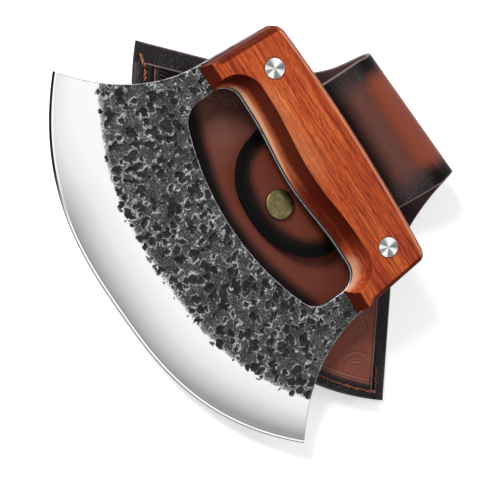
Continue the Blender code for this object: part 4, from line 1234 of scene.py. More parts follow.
# %% Sheath sizes
LEATHER, SEAT_GAP, WELT_THICK, WELT_WIDTH = 0.0018, 0.0003, 0.0037, 0.0075
POUCH_WIDTH, POUCH_DEPTH, WING_LENGTH = 0.1925, 0.037, 0.052
WING_SLOPE = math.radians(43)
WING = (-math.cos(WING_SLOPE), math.sin(WING_SLOPE))
MOUTH_MARGIN, MOUTH_Y = 0.0098, 0.0300
PANEL_BASE = LEATHER + WELT_THICK + 2 * SEAT_GAP
POUCH_TOP = PANEL_BASE + LEATHER
STRAP_WIDTH, ROOT_WIDTH, ROOT_SHIFT, CROWN_SHIFT, CROWN_Y = 0.0650, 0.0716, 0.0030, -0.0016, 0.0755
FOLD_TURN, FOLD_TURN_REACH, LOOP_HEIGHT = math.radians(2.7), 0.026, 0.020
FLAP_LENGTH, TONGUE_WIDTH, TONGUE_LENGTH, TONGUE_POWER, TONGUE_LEAN = 0.0825, 0.0628, 0.0285, 2.3, 0.0042
FLAP_SKEW, SNAP_FROM_TIP = math.radians(3.6), 0.0137
FOLD_R = (LOOP_HEIGHT - LEATHER) / 2
FLAP_BASE = POUCH_TOP + SEAT_GAP
HANDLE_TO_CROWN, FLAP_RISE_AHEAD = 0.0272, 0.0175
RISE_Y = CROWN_Y - HANDLE_TO_CROWN - FLAP_RISE_AHEAD
SNAP_LIFT, SNAP_LIFT_REACH, SNAP_CAP_D, SNAP_CAP_HEIGHT = 0.0026, 0.0085, 0.0125, 0.0017
print(f"pouch {POUCH_WIDTH * 1000:.1f} mm wide and {POUCH_TOP * 1000:.1f} mm high")


def on_strap(x, y):
    """A point of the closed strap in plan, from its own centre line."""
    c, s = math.cos(-FLAP_SKEW), math.sin(-FLAP_SKEW)
    return (c * x - s * y + CROWN_SHIFT, s * x + c * y + CROWN_Y)


def flare(side):
    """Edge of the back panel from the fold out to where the wing is straight."""
    end = (POUCH_WIDTH / 2 + WING[0] * WING_LENGTH - side * ROOT_SHIFT, WING[1] * WING_LENGTH)
    root = (ROOT_WIDTH / 2, CROWN_Y + FOLD_R + LEATHER)
    run = root[1] - end[1]
    line = bezier(root, (root[0], root[1] - 0.34 * run),
                  (end[0] + WING[0] * 0.32 * run, end[1] + WING[1] * 0.32 * run), end, 40)
    return np.array([(side * x + ROOT_SHIFT, y) for x, y in line])


def turn_share(y):
    """How much of the fold's turn there is, from 0 on the pouch to 1 at the crown."""
    share = np.clip(1 - (CROWN_Y - y) / FOLD_TURN_REACH, 0, 1)
    return share * share * (3 - 2 * share)


def skewed(x, y):
    """The fold's crown lies askew, and the turn dies out towards the pouch."""
    return y + (x - CROWN_SHIFT) * math.tan(FOLD_TURN) * turn_share(y)


def rounded(depth, radius, half):
    """Half thickness near an edge that is rounded over."""
    near = np.clip(radius - depth, 0, radius)
    return half - radius + np.sqrt(np.maximum(radius ** 2 - near ** 2, 0))


# %% [markdown]
# ## Back panel and fold
# Bent leather is easiest to draw flat and then to roll. The panel's plan uses the length along the
# leather, and past the crown line's foot that length becomes an angle round the fold. The outer,
# smooth side faces the table and comes out on top of the strap, and the fuzzy flesh side lines
# the loop. It bends across the hinge at the crown, where it meets the strap's front part.

# %% Back panel
EDGE_ROUND, EDGE_ROWS, EDGE_STEP = 0.0005, (0.0002, 0.0005), 0.0006
PANEL_SPACING, STRAP_SPACING = 0.0010, 0.0009
CORNER_OUT, CORNER_REACH = 0.0017, 0.034
pouch_arc = arc_line(POUCH_WIDTH / 2, POUCH_DEPTH, 0, POUCH_WIDTH / 2 * 1.05, 400)
crown_left = on_strap(-STRAP_WIDTH / 2, 0)[0]
crown_right = on_strap(STRAP_WIDTH / 2 + CORNER_OUT, 0)[0]
print(f"crown from x {crown_left * 1000:.1f} to {crown_right * 1000:.1f} mm")


def back_loop():
    """The panel's outline laid flat, where the fold is as long as its half turn."""
    right, left = flare(1), flare(-1)
    steps = 40
    angles = np.linspace(0, math.pi, steps + 1)
    y = CROWN_Y + FOLD_R * np.sin(angles)
    climb = (1 - np.cos(angles)) / 2
    edges = []
    for line, crown in ((right, crown_right), (left, crown_left)):
        here = np.interp(y, line[::-1, 1], line[::-1, 0])
        foot = np.interp(CROWN_Y, line[::-1, 1], line[::-1, 0])
        x = here + (crown - foot) * climb
        edges.append(np.stack([x, CROWN_Y + FOLD_R * angles], 1))
    below = [line[line[:, 1] < CROWN_Y - CROWN_MARGIN] for line in (right, left)]
    arc = arc_line(POUCH_WIDTH / 2, POUCH_DEPTH, 0, POUCH_WIDTH / 2)
    return np.vstack([arc, below[0][::-1], edges[0], edges[1][::-1], below[1]])


def open_line(loop, level):
    """The outline as one line that leaves out the edge at the top."""
    at_top = np.abs(loop[:, 1] - level) < TINY
    last = int(np.nonzero(at_top & np.roll(at_top, -1))[0][0])
    return resampled(np.roll(loop, -last - 1, axis=0), EDGE_STEP, closed=False)


def back_face(points, depth, side):
    """The flat plan rolled round the fold."""
    x, along = points[:, 0], points[:, 1]
    angle = np.clip((along - CROWN_Y) / FOLD_R, 0, math.pi)
    half = rounded(depth, EDGE_ROUND, LEATHER / 2) * side
    y = np.minimum(along, CROWN_Y) + FOLD_R * np.sin(angle)
    z = LEATHER / 2 + FOLD_R * (1 - np.cos(angle))
    y = y + np.sin(angle) * half
    z = z - np.cos(angle) * half
    return np.column_stack([x, skewed(x, y), z])


# %% The back panel's dye and grain
def back_dye(points, depth, side):
    """Black at the edges and on the pouch, and red-brown round the outside of the fold."""
    near = smooth(depth, 0.001, 0.013)
    on_fold = smooth(points[:, 1], CROWN_Y - 0.016, CROWN_Y - 0.002)
    return np.where(side > 0, near * (0.12 + 0.83 * on_fold), on_fold * (0.2 + 0.5 * near))


def back_flesh(points, depth, side):
    """The inside stays undyed from the root of the strap onwards."""
    return np.where(side > 0, 0.0, smooth(points[:, 1], CROWN_Y - 0.034, CROWN_Y - 0.022))


def back_pebble(points, depth, side):
    """Coarse grain on the pouch, and none on the flesh side or the fold."""
    return (1 - back_flesh(points, depth, side)) * smooth(points[:, 1], CROWN_Y - 0.005, CROWN_Y - 0.030)


def off_the_arc(points, depth, side):
    """The sewn edge is stained, and every other edge is rubbed pale."""
    return smooth(nearest_on(points, pouch_arc)[0], 0.0012, 0.0028)


back_outline = back_loop()
back_edge = open_line(back_outline, back_outline[:, 1].max())
back_plan = plan_of([back_outline], PANEL_SPACING, rows=EDGE_ROWS)
back = two_faced("back_leather", back_plan, back_face,
                 [("dye", back_dye), ("flesh", back_flesh), ("pebble", back_pebble),
                  ("rubbed", off_the_arc)], edges=[back_edge])
back.data.materials.append(leather)
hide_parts("back_panel")
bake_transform(back)

# %% [markdown]
# ## The strap's front part
# From the crown the strap runs forward under the handle and ends in a rounded tongue with the
# snap. It sinks from the fold to the pouch, and lifts a little where the snap holds it off. A wide
# black border was rubbed into the tongue, and that border is part of its dye.

# %% Strap
def strap_loop():
    """The strap's outline, a little wider at its right end beside the crown."""
    strap, tongue = STRAP_WIDTH / 2, TONGUE_WIDTH / 2
    tip = -FLAP_LENGTH
    half = [(strap, 0.004), (strap, 0.0)]
    half += [(strap + (tongue - strap) * i / 20, (tip + TONGUE_LENGTH) * i / 20) for i in range(1, 21)]
    for i in range(1, 48):
        angle = math.radians(90) * i / 48
        half.append((tongue * math.cos(angle) ** (2 / TONGUE_POWER),
                     tip + TONGUE_LENGTH * (1 - math.sin(angle) ** (2 / TONGUE_POWER))))
    half.append((0, tip))
    outline = []
    for x, y in half + [(-x, y) for x, y in reversed(half[:-1])]:
        share = max(tip + TONGUE_LENGTH - y, 0) / TONGUE_LENGTH
        wider = CORNER_OUT * max(1 + y / CORNER_REACH, 0) * (x > 0)
        outline.append(on_strap(x + wider - TONGUE_LEAN * share ** 2, y))
    outline = np.array(outline)
    below = outline[outline[:, 1] < CROWN_Y - CROWN_MARGIN]
    return np.vstack([[(crown_right, CROWN_Y)], below, [(crown_left, CROWN_Y)]])


SNAP_X, SNAP_Y = on_strap(0, SNAP_FROM_TIP - FLAP_LENGTH)
print(f"strap {FLAP_LENGTH * 1000:.1f} mm long in plan")


def strap_height(y):
    """Middle line of the closed strap above the table."""
    low, high = FLAP_BASE + LEATHER / 2, LOOP_HEIGHT - LEATHER / 2
    share = np.clip((y - RISE_Y) / (CROWN_Y - RISE_Y), 0, 1)
    height = low + (high - low) * share * share * (3 - 2 * share)
    away = np.clip((np.abs(y - SNAP_Y) - SNAP_CAP_D / 2) / SNAP_LIFT_REACH, 0, 1)
    return height + SNAP_LIFT * (1 + np.cos(math.pi * away)) / 2


def strap_face(points, depth, side):
    """The plan lifted to the strap's height, with its thickness square to the slope."""
    x, y = points.T
    slope = (strap_height(y + 1e-5) - strap_height(y - 1e-5)) / 2e-5
    half = rounded(depth, EDGE_ROUND, LEATHER / 2) * side
    size = np.hypot(slope, 1)
    moved = y - slope / size * half
    return np.column_stack([x, skewed(x, moved), strap_height(y) + half / size])


# %% The strap's dye and grain
BEHIND_HANDLE_Y = 0.045


def behind_handle(points):
    """How far a point of the strap lies ahead of the crown, square to the fold."""
    return CROWN_Y - points[:, 1] - math.tan(FOLD_TURN) * points[:, 0]


def strap_dye(points, depth, side):
    """A wide black border on the tongue, black beside the handle, and red-brown at the crown."""
    border = smooth(depth, 0.0020, 0.0100)
    ends = smooth(np.abs(points[:, 0] - CROWN_SHIFT), STRAP_WIDTH / 2 - 0.001, STRAP_WIDTH / 2 - 0.013)
    behind = 1 - smooth(behind_handle(points), 0.001, 0.018)
    tone = np.where(points[:, 1] > BEHIND_HANDLE_Y, ends * (0.05 + 0.93 * behind), 0.75 * border)
    return np.where(side > 0, tone, 0.2 + 0.5 * border)


def strap_painted_sheen(points, depth, side):
    """A painted sheen in a band where the strap bends most."""
    ends = smooth(np.abs(points[:, 0] - CROWN_SHIFT), STRAP_WIDTH / 2 + 0.002, STRAP_WIDTH / 2 - 0.010)
    ahead = behind_handle(points)
    band = smooth(ahead, 0.0215, 0.0125) * smooth(ahead, 0.0030, 0.0120)
    return np.where((points[:, 1] > BEHIND_HANDLE_Y) & (side > 0), 0.85 * band * ends, 0.0)


def strap_pebble(points, depth, side):
    """Coarse grain shows in two patches, one at each side of the bend."""
    off_centre = (points[:, 0] - CROWN_SHIFT) / (STRAP_WIDTH / 2)
    patch = smooth(np.abs(off_centre), 0.55, 0.85) * smooth(behind_handle(points), 0.024, 0.015)
    patch = patch * smooth(behind_handle(points), 0.001, 0.006)
    return np.where((points[:, 1] > BEHIND_HANDLE_Y) & (side > 0), patch, 0.0)


def flesh_below(points, depth, side):
    """The lower face is the undyed one."""
    return np.where(side > 0, 0.0, 1.0)


def strap_rubbed(points, depth, side):
    """The cut edges are rubbed pale where the strap bends."""
    return smooth(points[:, 1], 0.030, 0.045)


strap_outline = strap_loop()
strap_edge = open_line(strap_outline, CROWN_Y)
strap_plan = plan_of([strap_outline], STRAP_SPACING, rows=EDGE_ROWS)
strap = two_faced("strap_leather", strap_plan, strap_face, [
    ("dye", strap_dye), ("bloom", strap_painted_sheen), ("pebble", strap_pebble), ("flesh", flesh_below),
    ("rubbed", strap_rubbed),
], edges=[strap_edge])
strap.data.materials.append(leather)
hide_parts("closure_flap")
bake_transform(strap)

# %% [markdown]
# ## Tooled front panel
# The panel is wetted and worked with stamps: a creased line that follows the edge, a run of
# rosettes and leaves inside it, and a groove for the thread. The tools press the leather down, so
# the ornament is a depth at each point, made of rings and strokes.

# %% Front panel
GROOVE_INSET, GROOVE_HALF, GROOVE_DEPTH = 0.0030, 0.0010, 0.0004
CREASE_INSET, CREASE_HALF, CREASE_DEPTH = 0.0069, 0.00040, 0.00028
FRONT_SPACING, ORNAMENT_SPACING, MOUTH_CORNER_R = 0.00080, 0.00036, 0.004


def front_corner():
    """Where the pouch's arc meets the mouth edge, a margin inside the wing."""
    inward = np.array((-math.sin(WING_SLOPE), -math.cos(WING_SLOPE)))
    x = np.linspace(0, POUCH_WIDTH / 2, 20001)
    y = POUCH_DEPTH * ((x / (POUCH_WIDTH / 2)) ** ARC_POWER - 1)
    margin = (x - POUCH_WIDTH / 2) * inward[0] + y * inward[1]
    i = int(np.argmin(np.abs(margin - MOUTH_MARGIN)))
    return np.array((x[i], y[i]))


CORNER = front_corner()
print(f"panel {2 * CORNER[0] * 1000:.1f} mm wide")


def front_loop():
    """The front panel's outline."""
    climb = (MOUTH_Y - CORNER[1]) / WING[1]
    top_x = CORNER[0] + WING[0] * climb
    half = [(0, MOUTH_Y)] + corner_arc((0, MOUTH_Y), (top_x, MOUTH_Y), tuple(CORNER),
                                       MOUTH_CORNER_R)
    edge = arc_line(POUCH_WIDTH / 2, POUCH_DEPTH, 0, CORNER[0])
    half += [tuple(p) for p in edge[len(edge) // 2:][::-1]]
    return mirrored(half)


def stroke(distance, half_width, depth):
    """A pressed line of this depth, as deep as the distance from its middle allows."""
    return depth * np.exp(-(distance / half_width) ** 2)


front_ring = ring(resampled(front_loop(), 0.0004))
STITCH_PITCH = 0.0066
ORNAMENT_INSET, ORNAMENT_PITCH = 0.0068, 0.0162
station_middle = nearest_on(np.array([(0.0, -POUCH_DEPTH)]), pouch_arc)[1][0]


# %% Stamps
def repeat(station, pitch, offset=0.0):
    """Distance along a line to the nearest of the places that repeat on it."""
    turns = station / pitch + offset
    return (turns - np.round(turns)) * pitch


def rosettes(p, q):
    """A dot, a ring, and a ring of eight petals."""
    r, angle = np.hypot(p, q), np.arctan2(q, p)
    pressed = stroke(r, 0.00050, 0.00034) + stroke(r - 0.00135, 0.00030, 0.00026)
    pressed += stroke(r - 0.00245 - 0.00030 * np.cos(8 * angle), 0.00030, 0.00028)
    return pressed + stroke(r - 0.0036, 0.00028, 0.00022)


def leaves(p, q):
    """A pointed leaf along the line, with its midrib and veins."""
    reach, width = 0.0036, 0.0021
    edge = width * np.cos(math.pi / 2 * np.clip(p / reach, -1, 1)) ** 0.8
    pressed = stroke(np.abs(q) - edge, 0.00030, 0.00028) + stroke(q, 0.00024, 0.00022)
    veins = stroke(repeat(np.abs(p) + np.abs(q) * 0.8, 0.0013), 0.00022, 0.00016)
    return np.where(np.abs(p) < reach, pressed + veins * (np.abs(q) < edge), 0.0)


def fan(points, centre):
    """Arcs round a corner with a scalloped outer one, and a rosette in the middle."""
    away = points - centre
    r, angle = np.hypot(*away.T), np.arctan2(away[:, 1], away[:, 0])
    pressed = stroke(r - 0.0054, 0.00034, 0.00026) + stroke(r - 0.0068, 0.00028, 0.00020)
    pressed += stroke(r - 0.0090 - 0.0006 * np.abs(np.sin(9 * angle)), 0.00032, 0.00028)
    return pressed + rosettes(*away.T) * (r < 0.0044)


# %% The tooling on the panel
def tooling(points, depth):
    """How far the tools pressed each point down: the thread's groove, and the ornament."""
    from_arc, station = nearest_on(points, pouch_arc)
    groove = stroke(from_arc - GROOVE_INSET, GROOVE_HALF, GROOVE_DEPTH)
    hole = np.hypot(repeat(station - station_middle, STITCH_PITCH), from_arc - GROOVE_INSET)
    groove += stroke(hole, 0.00075, 0.00060)
    pressed = stroke(from_arc - CREASE_INSET, CREASE_HALF, CREASE_DEPTH)
    pressed += stroke(from_arc - CREASE_INSET - 0.0013, CREASE_HALF * 0.8, CREASE_DEPTH * 0.7)
    _, along = nearest_on(points, front_ring)
    q = depth - ORNAMENT_INSET
    flowers = rosettes(repeat(along, ORNAMENT_PITCH), q)
    flowers += leaves(repeat(along, ORNAMENT_PITCH, 0.5), q)
    band = np.clip((0.0044 - np.abs(q)) / 0.0004, 0, 1) * smooth(points[:, 1], -0.022, -0.018)
    fans = sum(fan(points, np.array((side * (CORNER[0] - 0.0135), CORNER[1] + 0.0010)))
               for side in (1, -1))
    corner = np.abs(points[:, 0]) > CORNER[0] - 0.0232
    inner = smooth(from_arc, CREASE_INSET + 0.0018, CREASE_INSET + 0.0023) * smooth(depth, 0.0014, 0.0020)
    return groove, pressed + np.where(corner, fans * inner, flowers * band)


def front_face(points, depth, side):
    """The panel's two faces, with the tooling pressed into the upper one."""
    half = rounded(depth, EDGE_ROUND, LEATHER / 2)
    z = PANEL_BASE + LEATHER / 2 + side * half
    if side > 0:
        z = z - sum(tooling(points, depth))
    return np.column_stack([points, z])


# %% The front panel's dye, painted shadow and painted light
# Where the blade's painted shadow starts on the pouch, given along x.
BLADE_SHADOW_X = np.array([-66, -59, -50, -41, -33, -24, -16, -8, 1, 11, 22, 32, 38]) / 1000
BLADE_SHADOW_START = np.array([21, 21.3, 22.5, 22.8, 22.3, 21.2, 20.6, 20.5, 21, 22.2, 24.0, 25.0, 25.6]) / 1000


def over_the_arc(points):
    """How far each point lies from the arc, and where the painted shadow of the blade starts there."""
    from_arc, _ = nearest_on(points, pouch_arc)
    return from_arc, np.interp(points[:, 0], BLADE_SHADOW_X, BLADE_SHADOW_START)


def under_window(points, start, end):
    """The part that shows in the window's left half, and the upper corner of that part."""
    left = smooth(-points[:, 0], start, end) * smooth(-points[:, 0], 0.080, 0.070)
    return left, left * smooth(points[:, 1], -0.006, 0.008)


def front_painted_highlights(points, depth, side):
    """Painted highlights on the lips beside the tools' lines and along the crease, and painted light
    on the part that shows in the window's left half, most at its upper corner where the arm's shadow falls."""
    from_arc, start = over_the_arc(points)
    beside = tooling(points - np.array((0.00032, 0)), depth)[1] - tooling(points, depth)[1]
    crease_highlight = stroke(from_arc - CREASE_INSET - 0.0006, 0.00026, 0.9) * smooth(depth, 0.0010, 0.0030)
    left, upper = under_window(points, 0.026, 0.048)
    # Painted light in the window's left half, most in its upper corner, where the arm's shadow falls.
    window_painted_light = (0.10 * left + 0.06 * upper) * smooth(from_arc, start + 0.003, start + 0.009)
    lip_highlights = np.clip(beside / 0.00020, 0, 1) * (0.75 + 0.60 * upper)
    return np.where(side > 0, lip_highlights + crease_highlight + window_painted_light, 0.0)


def front_dye_and_painted_light(points, depth, side):
    """Black along the arc, where the pouch was burnished, then a painted shadow of the blade's window
    edge as a second dark band under the knife, painted light that lifts the right wing, and darker in every
    pressed line."""
    from_arc, start = over_the_arc(points)
    near = smooth(from_arc, 0.0040, 0.0072) * (0.35 + 0.65 * smooth(depth, 0.0006, 0.0022))
    # The second band is a painted shadow of the blade's window edge.
    second = smooth(from_arc, start + 0.0078, start) * smooth(from_arc, start - 0.0110, start - 0.0035)
    shaded = 1 - 0.98 * smooth(np.abs(points[:, 0] + 0.012), 0.064, 0.046) * second
    left_wing = 1 - 0.87 * smooth(-points[:, 0], 0.064, 0.076)
    pressed = sum(tooling(points, depth)) / 0.0004
    # Painted light lifts the right wing.
    painted_light_right_wing = smooth(points[:, 0], 0.048, 0.060)
    tone = (0.06 + (0.69 + 0.22 * painted_light_right_wing) * near) * shaded * left_wing - 0.34 * np.clip(pressed, 0, 1)
    return np.where(side > 0, np.maximum(tone, 0), 0.2)


def front_pebble(points, depth, side):
    """Coarse grain outside the stitches."""
    from_arc, _ = nearest_on(points, pouch_arc)
    return np.where(side > 0, 0.8 * (1 - smooth(from_arc, 0.0046, 0.0066)), 0.0)


def front_painted_sheen(points, depth, side):
    """A painted sheen over the red part beyond the blade's painted shadow, stronger in the window's left
    half and its upper corner, and on the right wing.
    """
    from_arc, start = over_the_arc(points)
    wing = smooth(points[:, 0], 0.050, 0.062)
    left, upper = under_window(points, 0.030, 0.050)
    sheen_share = (0.20 + 0.20 * left + 0.12 * upper) * smooth(from_arc, start + 0.004, start + 0.010)
    return np.where(side > 0, np.maximum(0.40 * wing * smooth(from_arc, 0.008, 0.011), sheen_share), 0.0)


def ornamented(points):
    """Where the panel carries ornament and needs a finer field."""
    depth = edge_distance(points, [front_ring])
    wing = (np.abs(points[:, 0]) > CORNER[0] - 0.0240) & (depth > 0.006)
    return ((depth < 0.0115) & (points[:, 1] > -0.0200)) | wing


front_plan = plan_of([front_loop()], FRONT_SPACING, rows=EDGE_ROWS,
                     fine=(ORNAMENT_SPACING, ornamented))
front = two_faced("front_leather", front_plan, front_face,
                  [("dye", front_dye_and_painted_light), ("pebble", front_pebble), ("flesh", flesh_below),
                   ("bloom", front_painted_sheen), ("rubbed", off_the_arc), ("worn", front_painted_highlights)])
front.data.materials.append(leather)
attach(front, "sheath")
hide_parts("front_panel")

# %% [markdown]
# ## Welt
# Between the two panels lies a narrow strip of thick leather, the welt, which keeps the blade's
# edge off the thread. It is the same kind of sheet as the panels, cut along the arc, and only
# its raw outer edge shows, stained and rubbed.

# %% Welt
def welt_face(points, depth, side):
    """The welt's two faces."""
    half = rounded(depth, EDGE_ROUND, WELT_THICK / 2)
    return np.column_stack([points, LEATHER + SEAT_GAP + WELT_THICK / 2 + side * half])


def build_edge_leather():
    """The raw edge of thick leather, stained dark."""
    material, tree = new_material("edge_leather")
    fibres = noise(tree, stretched(tree, placed(tree), (1, 1, 2.5)), 900.0, 4.0, 0.7)
    cloud = noise(tree, placed(tree), 120.0, 3.0)
    tone = weighed(tree, (fibres, 0.7), (cloud, 0.3))
    colour = ramp(tree, tone, [(0.38, (0.006, 0.004, 0.004)), (0.52, (0.020, 0.012, 0.011)),
                               (0.66, (0.075, 0.046, 0.042))])
    return surfaced(material, tree, {
        "Base Color": colour, "Roughness": calc(tree, 'MULTIPLY_ADD', fibres, 0.25, 0.50),
        "Specular IOR Level": 0.15, "Normal": bump(tree, fibres, 0.00012, 0.8)})


welt_outer = arc_line(POUCH_WIDTH / 2, POUCH_DEPTH, 0, CORNER[0], 240)
welt_inner = arc_line(POUCH_WIDTH / 2, POUCH_DEPTH, WELT_WIDTH, CORNER[0], 240)
welt_plan = plan_of([np.vstack([welt_outer, welt_inner[::-1]])], PANEL_SPACING, rows=EDGE_ROWS)
welt = two_faced("welt_leather", welt_plan, welt_face)
welt.data.materials.append(build_edge_leather())
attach(welt, "sheath")
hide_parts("welt")

# %% [markdown]
# ## Stitches
# Saddle stitching is one thread that goes down at every hole. Each stitch is drawn as a short line
# from hole to hole that rises in the middle, and Geometry Nodes twist two plies round every line.
# At each end of the seam the thread steps over the mouth edge and locks into the back panel.

# %% Stitch lines
THREAD_LIFT, HOLE_SINK, PLY_R, PLY_APART, TWIST = 0.00040, 0.00095, 0.00034, 0.00031, 0.0044
STITCHES, THREAD_STEP, OVER_EDGE = 28, 0.00028, 0.0007
LEFT_EDGE, LEFT_HOLE = (-0.0877, -0.0060), (-0.0908, -0.0018)
RIGHT_EDGE, RIGHT_HOLE = (0.0871, -0.0043), (0.0901, -0.0014)
LOCK_HOLES = [(0.0899, -0.0007), (0.0858, 0.0028), (0.0817, 0.0063)]


def stitch_line(start, end, lift=THREAD_LIFT, steps=24):
    """A line between two holes that dives into both."""
    start, end = np.array(start), np.array(end)
    points = []
    for i in range(steps + 1):
        share = i / steps
        rise = 1 - abs(2 * share - 1) ** 5
        point = start + (end - start) * share
        point[2] += rise * (HOLE_SINK + lift) - HOLE_SINK
        points.append(point)
    return np.array(points)


def over_edge(start, edge, end, steps=30):
    """A line that climbs over the front panel's edge and falls to the back panel."""
    a, b, c = (np.array(p) for p in (start, edge, end))
    share = np.linspace(0, 1, steps + 1)[:, None]
    points = (1 - share) ** 2 * a + 2 * share * (1 - share) * (2 * b - (a + c) / 2) + share ** 2 * c
    points[:, 2] -= np.abs(2 * share[:, 0] - 1) ** 9 * HOLE_SINK
    return points


seam = arc_line(POUCH_WIDTH / 2, POUCH_DEPTH, GROOVE_INSET, POUCH_WIDTH / 2 * 0.96, 600)
along = np.concatenate([[0], np.cumsum(np.hypot(*np.diff(seam, axis=0).T))])
along -= along[-1] / 2
holes = [(np.interp(at, along, seam[:, 0]), np.interp(at, along, seam[:, 1]), POUCH_TOP - GROOVE_DEPTH)
         for at in (np.arange(STITCHES + 1) - STITCHES / 2) * STITCH_PITCH]
lines = [stitch_line(a, b) for a, b in zip(holes, holes[1:])]
over = POUCH_TOP + OVER_EDGE
lines.append(over_edge(holes[0], (*LEFT_EDGE, over), (*LEFT_HOLE, LEATHER)))
lines.append(over_edge(holes[-1], (*RIGHT_EDGE, over), (*RIGHT_HOLE, LEATHER)))
lock = [(x, y, LEATHER) for x, y in LOCK_HOLES]
lines += [stitch_line(a, b) for a, b in zip(lock, lock[1:])]
guide = bpy.data.curves.new("stitch_lines", 'CURVE')
guide.dimensions = '3D'
for line in lines:
    spline = guide.splines.new('POLY')
    spline.points.add(len(line) - 1)
    spline.points.foreach_set("co", np.column_stack([line, np.ones(len(line))]).ravel())
thread = put("thread", guide)
print(len(lines), "stitches")


# %% [markdown]
# ## Twisting the thread
# Waxed thread is two plies twisted together. A striped pattern on a plain tube would look smooth
# in outline, so two thin tubes really wind round each stitch line. Every point also keeps its
# distance to the core, which tells the material where to paint shade in the crevice.

# %% Geometry Nodes that twist the thread
def build_twisting(material):
    """The recipe that winds two plies round every line and marks how far they are from it."""
    tree, given = new_recipe("twisting", [(label, 'NodeSocketFloat') for label in
                                          ("Step", "Twist Length", "Ply Offset", "Ply Radius")])
    line = node(tree, "GeometryNodeResampleCurve",
                {"Curve": given["Geometry"], "Length": given["Step"]}, mode='LENGTH')
    reach = node(tree, "GeometryNodeSplineParameter", out=1)
    turns = product(tree, calc(tree, 'DIVIDE', reach, given["Twist Length"]), 2 * math.pi)
    ahead = node(tree, "GeometryNodeInputTangent")
    normal = node(tree, "GeometryNodeInputNormal")
    across = vector(tree, 'CROSS_PRODUCT', ahead, normal)
    join = tree.nodes.new("GeometryNodeJoinGeometry")
    ring_line = node(tree, "GeometryNodeCurvePrimitiveCircle",
                     {"Resolution": 8, "Radius": given["Ply Radius"]})
    for ply in (0, 1):
        angle = calc(tree, 'ADD', turns, ply * math.pi)
        one = vector(tree, 'SCALE', normal, calc(tree, 'COSINE', angle))
        two = vector(tree, 'SCALE', across, calc(tree, 'SINE', angle))
        out = vector(tree, 'SCALE', vector(tree, 'ADD', one, two), given["Ply Offset"])
        moved = node(tree, "GeometryNodeSetPosition", {"Geometry": line, "Offset": out})
        tube = node(tree, "GeometryNodeCurveToMesh",
                    {"Curve": moved, "Profile Curve": ring_line, "Fill Caps": True})
        tree.links.new(tube, join.inputs[0])
    middle = node(tree, "GeometryNodeCurveToMesh", {"Curve": line})
    away = node(tree, "GeometryNodeProximity", {"Geometry": middle}, out=1, target_element='EDGES')
    marked = node(tree, "GeometryNodeStoreNamedAttribute",
                  {"Geometry": join.outputs[0], "Name": "from_core", "Value": away},
                  data_type='FLOAT', domain='POINT')
    finish_recipe(tree, node(tree, "GeometryNodeSetShadeSmooth", {"Geometry": marked}), material)
    return tree


# %% Thread material
SHADED_THREAD, CREVICE_SHADE_THREAD = (0.120, 0.030, 0.020, 1), (0.030, 0.006, 0.004, 1)


def build_thread():
    """Waxed thread, with painted shade in the crevice between its plies."""
    material, tree = new_material("waxed_thread")
    fuzz = noise(tree, placed(tree), 2600.0, 3.0, 0.7)
    cloud = noise(tree, placed(tree), 300.0, 2.0)
    tone = weighed(tree, (fuzz, 0.6), (cloud, 0.4))
    colour = ramp(tree, tone, [(0.38, (0.070, 0.010, 0.006)), (0.49, (0.260, 0.060, 0.018)),
                               (0.56, (0.420, 0.130, 0.050)), (0.63, (0.700, 0.400, 0.260))])
    right = split(tree, placed(tree))[0]
    colour = mix(tree, fade(tree, right, 0.020, 0.050, 0.0, 0.45), colour, SHADED_THREAD)
    # Painted shade darkens the crevice between the plies.
    crevice_shade = fade(tree, attribute(tree, "from_core"), 0.00058, 0.00034)
    colour = mix(tree, product(tree, crevice_shade, 0.92), colour, CREVICE_SHADE_THREAD)
    return surfaced(material, tree, {
        "Base Color": colour, "Roughness": calc(tree, 'MULTIPLY_ADD', fuzz, 0.2, 0.42),
        "Specular IOR Level": 0.35, "Normal": bump(tree, fuzz, 0.00008, 0.7)})


thread = baked(thread, build_twisting(build_thread()), {
    "Step": THREAD_STEP, "Twist Length": TWIST, "Ply Offset": PLY_APART, "Ply Radius": PLY_R})
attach(thread, "sheath")
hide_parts("stitching")
print("thread", len(thread.data.polygons), "faces")

# %% [markdown]
# ## Snap
# A press snap's cap is a shallow pressed dome with a rolled rim. It is turned like the rivets.
# The socket, stud and eyelet below keep the shapes of the solids and take the same old brass.

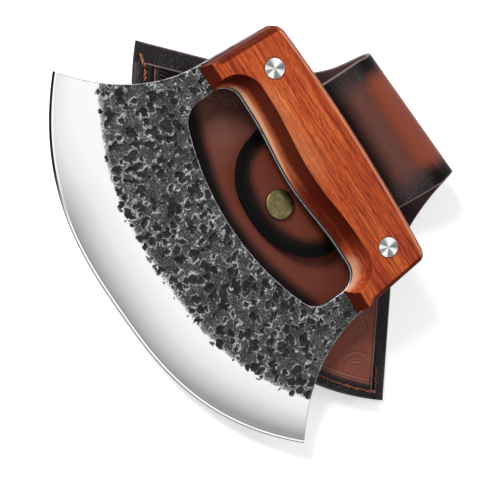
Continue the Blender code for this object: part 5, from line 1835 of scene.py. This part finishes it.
# %% Snap cap and brass
def build_brass():
    """Old brass with a cloudy tarnish and fine scratches."""
    material, tree = new_material("aged_brass")
    place = placed(tree)
    cloud = noise(tree, place, 420.0, 4.0, 0.62)
    scratch = noise(tree, stretched(tree, place, (300, 2600, 900)), 1.0, 2.0, 0.6)
    tone = calc(tree, 'MULTIPLY_ADD', scratch, 0.25, product(tree, cloud, 0.75))
    colour = ramp(tree, tone, [(0.34, (0.105, 0.088, 0.036)), (0.50, (0.165, 0.138, 0.058)),
                               (0.68, (0.270, 0.240, 0.110))])
    return surfaced(material, tree, {
        "Base Color": colour, "Metallic": 1.0,
        "Roughness": calc(tree, 'MULTIPLY_ADD', cloud, 0.25, 0.22),
        "Normal": bump(tree, cloud, 0.00006, 0.5)})


brass = build_brass()
CAP_SKIRT, CAP_LIP, DOME_SHARE, DOME_DROP, ROLL_DROP = 0.0003, 0.0002, 0.90, 0.00045, 0.00075
CAP_BASE = FLAP_BASE + SNAP_LIFT + LEATHER + SEAT_GAP
cap_r = SNAP_CAP_D / 2 + CAP_SKIRT
dome = [(0, SNAP_CAP_HEIGHT)]
for i in range(1, 17):
    r = cap_r * DOME_SHARE * i / 16
    dome.append((r, SNAP_CAP_HEIGHT - DOME_DROP * (i / 16) ** 2))
for i in range(1, 9):
    angle = math.radians(90) * i / 8
    r = cap_r * (DOME_SHARE + (1 - DOME_SHARE) * math.sin(angle))
    dome.append((r, SNAP_CAP_HEIGHT - DOME_DROP - ROLL_DROP * (1 - math.cos(angle))))
dome += [(cap_r, CAP_LIP), (cap_r - CAP_LIP, 0), (0, 0)]
cap = put("domed_cap", turned("domed_cap", dome, 96))
cap.data.transform(Matrix.Translation((SNAP_X, SNAP_Y, CAP_BASE)))
cap.data.materials.append(brass)
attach(cap, "flap")
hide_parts("snap_cap")
for name in ("snap_socket", "snap_stud", "snap_eyelet"):
    bpy.data.objects[name].data.materials[0] = brass
print("snap at", [round(float(v) * 1000, 1) for v in (SNAP_X, SNAP_Y, CAP_BASE)])
